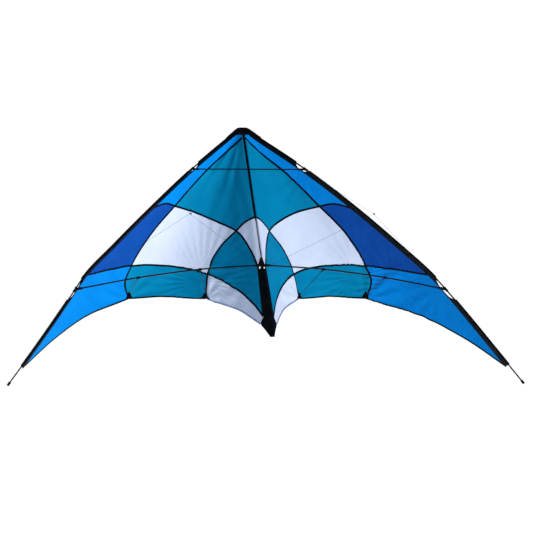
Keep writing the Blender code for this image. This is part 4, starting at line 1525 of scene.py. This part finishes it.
    def declare(self, obj: bpy.types.Object, plan: Grid, held_by: list[str]) -> None:
        """Says what flat piece of cloth the panel was cut from.

        Args:
            obj: The finished panel.
            plan: Its points in the kite's plane.
            held_by: The pieces that stretch it.
        """
        area = sum(face.area for face in obj.data.polygons)
        seen = sum((b - a).cross(c - a) / 2 + (c - d).cross(b - d) / 2
                   for low, high in zip(plan, plan[1:])
                   for a, b, c, d in zip(low, low[1:], high, high[1:]))
        fuller = math.sqrt(area / abs(seen))
        width, length = self.cut_size([p for row in plan for p in row])
        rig.sheet(obj, flat=(width * fuller, length * fuller), held="stretched",
                 rests_on=held_by, area=area)

    def add_tape(self, wing: Wing, name: str, plan: Sequence[Vector], width: float) -> None:
        """A binding tape over a seam or round a hem, pale where the tail is white.

        Args:
            wing: The wing, left or right.
            name: The seam's name.
            plan: Plan points along it.
            width: Width of the tape.
        """
        obj = tape(f"{wing.word}_{name}_binding", [self.form.point(p, wing) for p in plan],
                   [self.form.front(p, wing) for p in plan], width, self.tape_thick)
        finish, slot = ("white", "white") if name == "tail_hem" else ("binding", "webbing")
        self.wardrobe.put_on(obj, finish)
        hang(obj, wing)
        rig.slot(obj, slot)

    def build(self, wing: Wing) -> None:
        """Makes one wing's panels and bindings.

        Args:
            wing: The wing, left or right.
        """
        sleeve = f"{wing.word}_edge_sleeve"
        for name, (finish, sides) in self.outlines().items():
            plan = self.fill(sides)
            rows = [[self.form.point(p, wing) for p in row] for row in plan]
            marks = [[(p.x, p.y) for p in row] for row in plan]
            obj = cloth_mesh(f"{wing.word}_{name}_cloth", [(rows, marks)])
            self.wardrobe.put_on(obj, finish)
            hang(obj, wing)
            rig.replaces(obj, f"{wing.word}_{name}")
            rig.slot(obj, finish)
            self.declare(obj, plan, [sleeve, "spine"])
        for name, line in self.seams().items():
            last = len(line.points) - 1
            width = self.hem_width if name.endswith("hem") else self.seam_width
            self.add_tape(wing, name, line.run(0, last, 28 * last), width)
        self.add_tape(wing, "keel_foot", straight(
            (self.keel_gap, self.keel_heights[2]), self.strip_edge.points[0], 12),
            self.seam_width)


@dataclass
class EdgeSleeve:
    """The black sleeve over each leading edge, cut out beside the connectors."""

    form: SailForm
    wardrobe: Wardrobe
    radius: float = 6.2 * MM
    half_flap: float = 0.9 * MM
    hem: float = 3.5 * MM
    cut_start: float = 7 * MM
    cuts: tuple[tuple[float, float], ...] = ((0.204, 0.256), (0.747, 0.825))
    start_span: float = 0.024
    end_span: float = 1.032
    layers: int = 15
    cells: int = 170
    cut_step: float = 0.75 * MM
    pucker: float = 0.35 * MM

    def stations(self) -> list[float]:
        """Spans at which the sleeve's section is set out, close together at the cuts.

        Returns:
            The spans, in rising order.
        """
        length = self.end_span - self.start_span
        spans = {round(self.start_span + length * i / self.cells, 5)
                 for i in range(self.cells + 1)}
        for start, end in self.cuts:
            for middle, way in ((start, 1), (end, -1)):
                spans |= {round(middle + way * self.cut_step * i, 5) for i in range(-2, 26)}
        return sorted(spans)

    def opening(self, span: float, reach: float) -> float:
        """How far in from the spar the sleeve is cut away, at least its own front.

        Args:
            span: Distance out from the spine.
            reach: Distance from the spar to the seam of the sleeve.

        Returns:
            Distance inwards from the spar's centre, less than zero in front of it.
        """
        for start, end in self.cuts:
            if start < span < end:
                share = 2 * (span - start) / (end - start) - 1
                deep = reach - self.hem + self.cut_start
                return max(deep * (1 - share ** 4) - self.cut_start, -self.radius)
        return -self.radius

    def rise(self, inward: float, reach: float) -> float:
        """Half the sleeve's thickness: round the spar, then drawn flat to its seam.

        Args:
            inward: Distance inwards from the spar's centre.
            reach: Distance from there to the seam.

        Returns:
            The distance of the cloth from the sleeve's own middle.
        """
        touch = self.radius ** 2 / reach
        if inward <= touch:
            return math.sqrt(max(self.radius ** 2 - inward ** 2, 0.0))
        share = (inward - touch) / (reach - touch)
        start = math.sqrt(self.radius ** 2 - touch ** 2)
        return start + (self.half_flap - start) * share

    def build(self, wing: Wing) -> None:
        """Makes the sleeve of one wing.

        Args:
            wing: The wing, left or right.
        """
        halves: list[tuple[Grid, Marks]] = [([], []), ([], [])]
        along_edge, before = 0.0, None
        for span in self.stations():
            centre, along, flap = self.form.edge_frame(span, wing)
            reach, inward = flap.length, flap.normalized()
            over = inward.cross(along)
            along_edge += (centre - before).length if before else 0.0
            before = centre
            low = self.opening(span, reach)
            for way, (rows, marks) in zip((1, -1), halves):
                row, mark = [], []
                for i in range(self.layers):
                    share = 1 - math.cos(math.pi / 2 * i / (self.layers - 1))
                    inside = low + (reach - low) * share
                    pucker = noise.noise(Vector((along_edge * 70, inside * 60, way)))
                    lift = (self.rise(inside, reach)
                            + self.pucker * pucker * smoothstep(inside / self.radius))
                    row.append(centre + inward * inside + over * lift * way)
                    mark.append((reach - inside, along_edge))
                rows.append(row)
                marks.append(mark)
        obj = cloth_mesh(f"{wing.word}_edge_sleeve", halves)
        self.wardrobe.put_on(obj, "webbing")
        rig.ride(obj, wing.body)
        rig.replaces(obj, f"{wing.word}_leading_edge_sleeve")
        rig.slot(obj, "webbing")


@dataclass
class Keel:
    """The strip, patch, seam tape and nose cap in the middle of the kite."""

    form: SailForm
    wardrobe: Wardrobe
    hinge_width: ClassVar[float] = 0.030
    strip: Line = Line(((0.0222, -0.216), (0.0182, -0.100), (0.0172, -0.070),
                        (0.0160, -0.045), (0.0140, -0.022), (0.0120, -0.010)))
    strip_right: Line = Line(((0.0222, -0.216), (0.0182, -0.100), (0.0172, -0.070),
                              (0.0168, -0.045), (0.0160, -0.022), (0.0150, -0.010)))
    patch: Line = Line(((0.0210, -0.2080), (0.0325, -0.2380), (0.0200, -0.2700),
                        (0.0080, -0.3000)))
    web_cells: int = 60
    half_columns: int = 6
    seam: Line = Line(((0.0048, 0.560), (0.0048, 0.490), (0.0048, 0.420), (0.0048, 0.350),
                       (0.0048, 0.280), (0.0040, 0.215), (0.0018, 0.190), (0.0016, 0.150),
                       (0.0016, 0.090), (0.0015, 0.024)))
    cap_half: float = 0.072
    cap_top: float = 0.584
    cap_foot: float = 0.5535
    cap_edges: Plan = (0.5999, 0.5768)
    cap_slope: float = 0.76
    cap_cells: int = 36
    cap_rim: float = 2.5 * MM
    edge_rim: float = 0.3 * MM
    top_rounding: float = 3 * MM
    foot_rounding: float = 2 * MM
    pucker: float = 0.5 * MM
    cap_section: tuple[tuple[float, float, float], ...] = (
        (0.00, 0.0, 7.4), (0.03, 0.0, 5.6), (0.12, 0.0, 4.9), (0.30, 0.0, 4.5),
        (0.50, 0.0, 4.4), (0.70, 0.0, 4.6), (0.88, 0.0, 5.2), (0.97, 0.0, 6.8),
        (1.00, 0.0, 9.5), (1.00, 0.5, 14.0), (1.00, 0.0, 19.5), (1.00, -1.5, 22.2),
        (1.00, -6.0, 23.2), (1.00, -15.0, 23.4))

    def point(self, across: float, height: float, lift: float) -> Vector:
        """A point of the middle cloth, on either side of the spine."""
        wing = Wing.LEFT if across < 0 else Wing.RIGHT
        return self.form.point((abs(across), height), wing, lift)

    def web(self, name: str, sides: tuple[Line, Line], lift: float, wing: Wing | None,
            *nodes: str) -> None:
        """A piece of webbing across the spine, or half of one.

        Args:
            name: The new object's name.
            sides: Half width against height, to the left and to the right.
            lift: How far in front of the sail it lies.
            wing: The wing that a half lies on, or None for the whole piece.
            nodes: The CAD piece that it stands for, if any.
        """
        n = self.half_columns
        steps = range(0 if wing is Wing.RIGHT else -n, 1 if wing is Wing.LEFT else n + 1)
        grid, marks = [], []
        left, right = (line.run(0, len(line.points) - 1, self.web_cells) for line in sides)
        for a, b in zip(left, right):
            up = (a.y + b.y) / 2
            places = [(-a.x if c < 0 else b.x) * abs(c) / n for c in steps]
            grid.append([self.point(x, up, lift) for x in places])
            marks.append([(min(x + a.x, b.x - x), up) for x in places])
        self.finish(cloth_mesh(name, [(grid, marks)]), wing, *nodes)

    def finish(self, obj: bpy.types.Object, wing: Wing | None, *nodes: str) -> None:
        """Dresses and hangs a piece of webbing.

        Args:
            obj: The piece.
            wing: The wing that it reaches, or None if it stays on the spine.
            nodes: The CAD piece that it stands for, if any.
        """
        self.wardrobe.put_on(obj, "webbing")
        hang(obj, wing)
        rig.slot(obj, "webbing")
        if nodes:
            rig.replaces(obj, *nodes)

    def build_nose(self, wing: Wing) -> None:
        """Half of the cap, folded over the spars and stitched down in front.

        Args:
            wing: The wing that this half reaches, and bends with.
        """
        rows, marks = [], []
        for i in range(self.cap_cells + 1):
            x = self.cap_half * (i / self.cap_cells - (wing is Wing.LEFT))
            outer, inner = (edge - self.cap_slope * abs(x) for edge in self.cap_edges)
            top = soft_least(self.cap_top, outer, self.top_rounding)
            foot = soft_least(self.cap_foot, inner, self.foot_rounding)
            rim = self.cap_rim * (1 - abs(x) / self.cap_half) + self.edge_rim
            rows.append([])
            marks.append([])
            for share, past, back in self.cap_section:
                up = foot + (top + rim - foot) * share + past * MM
                pucker = self.pucker * noise.noise(Vector((x * 60, up * 70, back * 0.2)))
                rows[-1].append(self.form.to_world(x, min(up, self.cap_top + MM),
                                                   back * MM + pucker))
                marks[-1].append((up - foot, x))
        name = f"{wing.word}_nose_cap_cover"
        self.finish(cloth_mesh(name, [(rows, marks)]), wing, "nose_cap")

    def build(self) -> None:
        """Makes the middle pieces."""
        self.web("keel_strip_web", (self.strip, self.strip_right), 0.9 * MM, None, "keel_strip")
        self.web("tail_patch_web", (self.patch, self.patch), 1.3 * MM, None, "tail_patch")
        for wing in Wing:
            for name, lift in (("binding", 0.5 * MM), ("backing", -0.5 * MM)):
                self.web(f"{wing.word}_keel_seam_{name}", (self.seam, self.seam), lift, wing)
            self.build_nose(wing)


@dataclass
class TrailingFittings:
    """Sewn corner patches with a moulded seat for the tip of each standoff."""

    form: SailForm
    wardrobe: Wardrobe
    panels: Panels
    reach: float = 17 * MM
    height: float = 25 * MM
    seat_lift: float = 4.8 * MM
    cup_radius: float = 2.85 * MM
    cup_bore: float = 1.55 * MM
    cup_depth: float = 7 * MM
    cup_bottom: float = 2 * MM
    cup_mouth: float = 100.0
    cup_cells: int = 22
    patch_lift: float = 1.1 * MM
    swell: float = 2.6 * MM
    swell_height: float = 11 * MM
    swell_radius: float = 6 * MM
    rows: int = 12
    half_columns: int = 8
    corners: tuple[tuple[str, Plan, float], ...] = (
        ("inner", (0.197, -0.071), 0.262), ("outer", (0.503, -0.052), 0.524))
    spreader: Line = Line(((0.0, 0.0, 0.0), (0.262, 0.010, -0.017), (0.524, 0.010, -0.050),
                           (0.787, 0.016, -0.096)))

    def patch(self, corner: Vector, before: Vector, after: Vector,
              wing: Wing) -> tuple[Grid, Marks]:
        """The patch from the corner of the hem to its point on the seam above.

        Args:
            corner: Plan point of the corner.
            before: Plan point on the hem that leads to it.
            after: Plan point on the hem that leads away.
            wing: The wing, left or right.

        Returns:
            Its points, and their measure across and along.
        """
        left = (before - corner).normalized() * self.reach
        right = (after - corner).normalized() * self.reach
        rows, marks = [], []
        for up in (r / self.rows for r in range(self.rows + 1)):
            middle = corner + Vector((0, self.height * up))
            rows.append([])
            marks.append([])
            for c in range(-self.half_columns, self.half_columns + 1):
                share = abs(c) / self.half_columns
                aside = (left if c < 0 else right) * share * (1 - 0.9 * up)
                p = middle + aside
                away = (p - corner - Vector((0, self.swell_height))).length
                swell = self.swell * math.exp(-(away / self.swell_radius) ** 2)
                rows[-1].append(self.form.point(p, wing, self.patch_lift + swell))
                marks[-1].append(((1 - share) * self.reach * (1 - up), p.y))
        return rows, marks

    def cup(self, seat: Vector, back: Vector, swing: Vector) -> tuple[Grid, Marks]:
        """A round seat open on the side where the rod's tip swings out.

        Args:
            seat: The middle of its foot.
            back: The way the rod leaves.
            swing: The way the rod swings out.

        Returns:
            Its points, and their measure across and along.
        """
        across = back.cross(swing).normalized()
        rows, marks = [], []
        for i in range(self.cup_cells + 1):
            angle = math.radians(
                self.cup_mouth / 2 + (360 - self.cup_mouth) * i / self.cup_cells)
            out = swing * math.cos(angle) + across * math.sin(angle)
            profile = ((0.0, 0.0), (self.cup_radius, 0.0), (self.cup_radius, self.cup_depth),
                       (self.cup_bore, self.cup_depth), (self.cup_bore, self.cup_bottom),
                       (0.0, self.cup_bottom))
            rows.append([seat + out * r + back * h for r, h in profile])
            marks.append([(r + h, angle * self.cup_radius) for r, h in profile])
        return rows, marks

    def build(self, wing: Wing) -> None:
        """Makes the two fittings of one wing.

        Args:
            wing: The wing, left or right.
        """
        seams = self.panels.seams()
        tail, middle, outer = (seams[k] for k in ("tail_hem", "middle_hem", "outer_hem"))
        beside = {"inner": (tail.at(2), tail.at(1.6), middle.at(0.4)),
                  "outer": (outer.at(0), middle.at(1.6), outer.at(0.4))}
        for label, tip, span in self.corners:
            place = self.spreader.place_of(span)
            axis = (self.spreader.at(place + 0.01) - self.spreader.at(place - 0.01)).normalized()
            seat = (self.form.point(tip, wing) + self.form.front(tip, wing) * self.seat_lift)
            back = (wing.mirror(self.spreader.at(place)) - seat).normalized()
            swing = wing.mirror(axis).cross(back).normalized() * wing.value
            name = f"{wing.word}_{label}_trailing_edge"
            obj = cloth_mesh(f"{name}_patch", [self.patch(*beside[label], wing)])
            cup = cloth_mesh(f"{name}_seat", [self.cup(seat, back, swing)])
            for piece, finish in ((obj, "webbing"), (cup, "moulded")):
                self.wardrobe.put_on(piece, finish)
                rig.ride(piece, wing.body)
                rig.slot(piece, finish)
            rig.replaces(obj, f"{name}_fitting")


@dataclass
class HardParts:
    """The rods, the T, the connectors, clips, ferrules and tip caps."""

    wardrobe: Wardrobe
    rods: tuple[str, ...] = ("spine", "spar", "spreader", "standoff")
    moulded: tuple[str, ...] = ("centre_tee", "tee_arm", "connector", "clip", "nock")

    def build(self) -> None:
        """Gives each of these pieces its finish and clean edges."""
        for name, obj in frame["nodes"].items():
            if name.endswith(self.moulded):
                finish = "moulded"
            elif name.endswith("ferrule"):
                finish = "aluminium"
            elif name.endswith(self.rods):
                finish = "carbon"
            else:
                continue
            self.wardrobe.put_on(obj, finish)
            obj.data.polygons.foreach_set("use_smooth", [True] * len(obj.data.polygons))
            obj.data.set_sharp_from_angle(angle=math.radians(40))
            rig.slot(obj, finish)
            LOG.info("dressed %s in %s", name, finish)


def main() -> None:
    """Builds the scene, class by class."""
    logging.basicConfig(level=logging.INFO, format="%(message)s")
    bpy.context.scene.view_settings.view_transform = "Standard"
    Studio().build()
    form, wardrobe = SailForm(), Wardrobe()
    bridle = Bridle(form, wardrobe)
    panels = Panels(form, wardrobe)
    sleeve = EdgeSleeve(form, wardrobe)
    fittings = TrailingFittings(form, wardrobe, panels)
    for wing in Wing:
        bridle.build(wing)
    for wing in Wing:
        panels.build(wing)
        sleeve.build(wing)
        fittings.build(wing)
    Keel(form, wardrobe).build()
    HardParts(wardrobe).build()
    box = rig.bounds()
    with open("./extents.json", "w") as file:
        json.dump({"cad": [list(p) for p in CAD_BOX], "visual": [list(p) for p in box]}, file)


if __name__ == "__main__":
    main()
